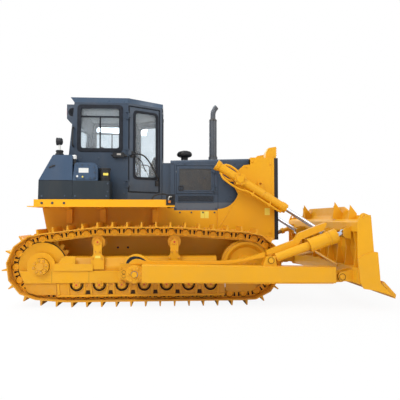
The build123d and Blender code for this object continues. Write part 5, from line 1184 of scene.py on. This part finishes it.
BRACKET_HOLES = ((-1.042, 0.502), (-1.042, 0.446))
BRACKET_NOSE = ((-0.94, 0.379, 0.02), (-0.94, 0.604, 0.02), (-1.039, 0.56, 0.05), (-1.133, 0.5, 0.04),
                (-1.133, 0.44, 0.04), (-1.06, 0.395, 0.03))


def on_strut(along, up=0.0, out=0.0):
    return STRUT_FOOT + STRUT_RUN * along + STRUT_UP * up + Vector((0, -out, 0))


def arm_trim():
    rings, caps = both("pin_rings", "gap", ARMS), both("arm_caps", "yellow", ARMS)
    bolts, beads = both("arm_bolts", "yellow", ARMS), both("arm_beads", "yellow", ARMS)
    caps.side(-1.6, 0.014, 0.003, circle(*TRUNNION, 0.118, 36), circle(*TRUNNION, 0.05, 28)[::-1])
    bolts.row(-1.613, 0.032, 0.014, *circle(*TRUNNION, 0.088, 6))
    for rear, front in ((0.64, 0.588), (0.398, 0.36)):
        beads.tube([(-0.7, -1.654, rear), (1.98, -1.654, front)], 0.004, False)
    caps.side(-1.659, 0.002, 0.0005, rectangle((1.2, 1.23), (0.38, 0.6)))
    foot = (STRUT_FOOT.x, STRUT_FOOT.z)
    caps.stub(*foot, -1.624, -1.64, 0.04, 24, 0.034)
    # painted shade: a dark ring round the strut's foot pin
    rings.ring(-1.6245, 0.002, 0.0, *foot, 0.046, 0.041)


def bracket_trim():
    """The rounded nose, two ringed plugs and bolts of each trunnion bracket."""
    nose, rings = both("bracket_noses", "yellow"), both("bracket_ring_shade", "gap")
    bolts = both("bracket_bolts", "yellow")
    nose.side(BRACKET_FACE, 0.01, 0.003, round_corners(BRACKET_NOSE))
    for spot in BRACKET_HOLES:
        nose.side(BRACKET_FACE - 0.009, 0.005, 0.002, circle(*spot, 0.024))
        # painted shade: a dark ring round each plug
        rings.ring(BRACKET_FACE - 0.0095, 0.0015, 0.0, *spot, 0.0285, 0.0235)
    bolts.row(BRACKET_FACE, 0.026, 0.014, (-1.08, 0.56), (-0.985, 0.42), (-1.09, 0.41))


def hose_trim():
    """The rounded elbow over the right arm's rear end, and its dark opening."""
    elbow, shade = one("hose_elbow", "yellow", "right_arm"), one("elbow_shade", "rubber", "right_arm")
    elbow.side(-1.41, 0.1, 0.006, round_corners([(*point, 0.015) for point in ELBOW]))
    shade.side(-1.5095, 0.002, 0.0, ELBOW_SHADE[::-1])


def strut_trim():
    """Bands, gland bolts and threads on the tilt cylinder and the left strut."""
    right = one("tilt_cylinder_trim", "yellow", "tilt_cylinder")
    left = one("strut_nuts", "yellow", "left_strut_body")
    threads = one("strut_threads", "dark_steel", "left_strut_body")
    for low, high, radius in ((0.61, 0.64, 0.104), (0.905, 0.935, 0.1065), (1.02, 1.047, 0.112)):
        right.rod(on_strut(low), on_strut(high), radius, 48)
    for spot in circle(0, 0, 0.086, 10):
        right.bolt(on_strut(1.046, *spot), STRUT_RUN, 0.022, 0.012)

    def on_left(along):
        return on_strut(along, 0.0, 2 * STRUT_FOOT.y)

    for low, high in ((0.64, 0.665), (0.675, 0.7)):
        left.rod(on_left(low), on_left(high), 0.088, 6)
    for i in range(24):
        low = 0.705 + i * 0.012
        threads.rod(on_left(low), on_left(low + 0.006), 0.0425, 28)


# ---------------------------------------------------------------- blade
CHEEK_FACE = -1.6575
EDGE_BOLTS = 22
EDGE_BOLT_Y = 1.75
EDGE_OUT = (0.74, 0, 0.67)


def blade_trim():
    pins, rings = both("blade_pin_caps", "yellow", BLADES), both("blade_pin_ring_shade", "gap", BLADES)
    stays, edge = one("blade_stays", "yellow", "blade_body"), one("edge_bolts", "dark_steel", "blade_body")
    beads = one("side_plugs", "yellow", "blade_body")
    for side in SIDES:
        stays.rod((2.25, side * 0.06, 0.7), (2.272, side * 1.08, 0.56), 0.022, 20)
        for x, z in ((2.5, 0.78), (2.52, 0.64), (2.54, 0.5)):
            beads.stub(x, z, side * 1.8615, side * 1.8619, 0.016, 20)
    for i in range(EDGE_BOLTS):
        y = -EDGE_BOLT_Y + i * 2 * EDGE_BOLT_Y / (EDGE_BOLTS - 1)
        edge.bolt((2.716, y, 0.33), EDGE_OUT, 0.034, 0.012)
    pins.stub(*BLADE_PIN, -1.657, -1.676, 0.036, 28, 0.03)
    # painted shade: a dark ring round the blade pin
    rings.ring(CHEEK_FACE, 0.002, 0.0, *BLADE_PIN, 0.049, 0.043)


def soften_seat(seat):
    smooth = seat.modifiers.new("soft", "SUBSURF")
    smooth.levels = smooth.render_levels = 2
    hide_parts("operator_seat")


add_camera()
add_stage()
add_lamps()
finish_nodes()
for add_pieces in (track_links, roller_guard_trim, track_frame_trim, hull_trim, step_and_rail, tank_trim,
                   rear_lamps, cab_seals, cab_trim, door_trim, roof_trim, cab_inside, hood_trim, stack_trim,
                   guard_trim, head_lamps, lift_trim, arm_trim, bracket_trim, hose_trim, strut_trim,
                   blade_trim):
    add_pieces()
for build in builds:
    build.done()
soften_seat(bpy.data.objects["seat_cushions"])
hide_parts("precleaner")

bpy.context.scene.view_settings.view_transform = "Standard"
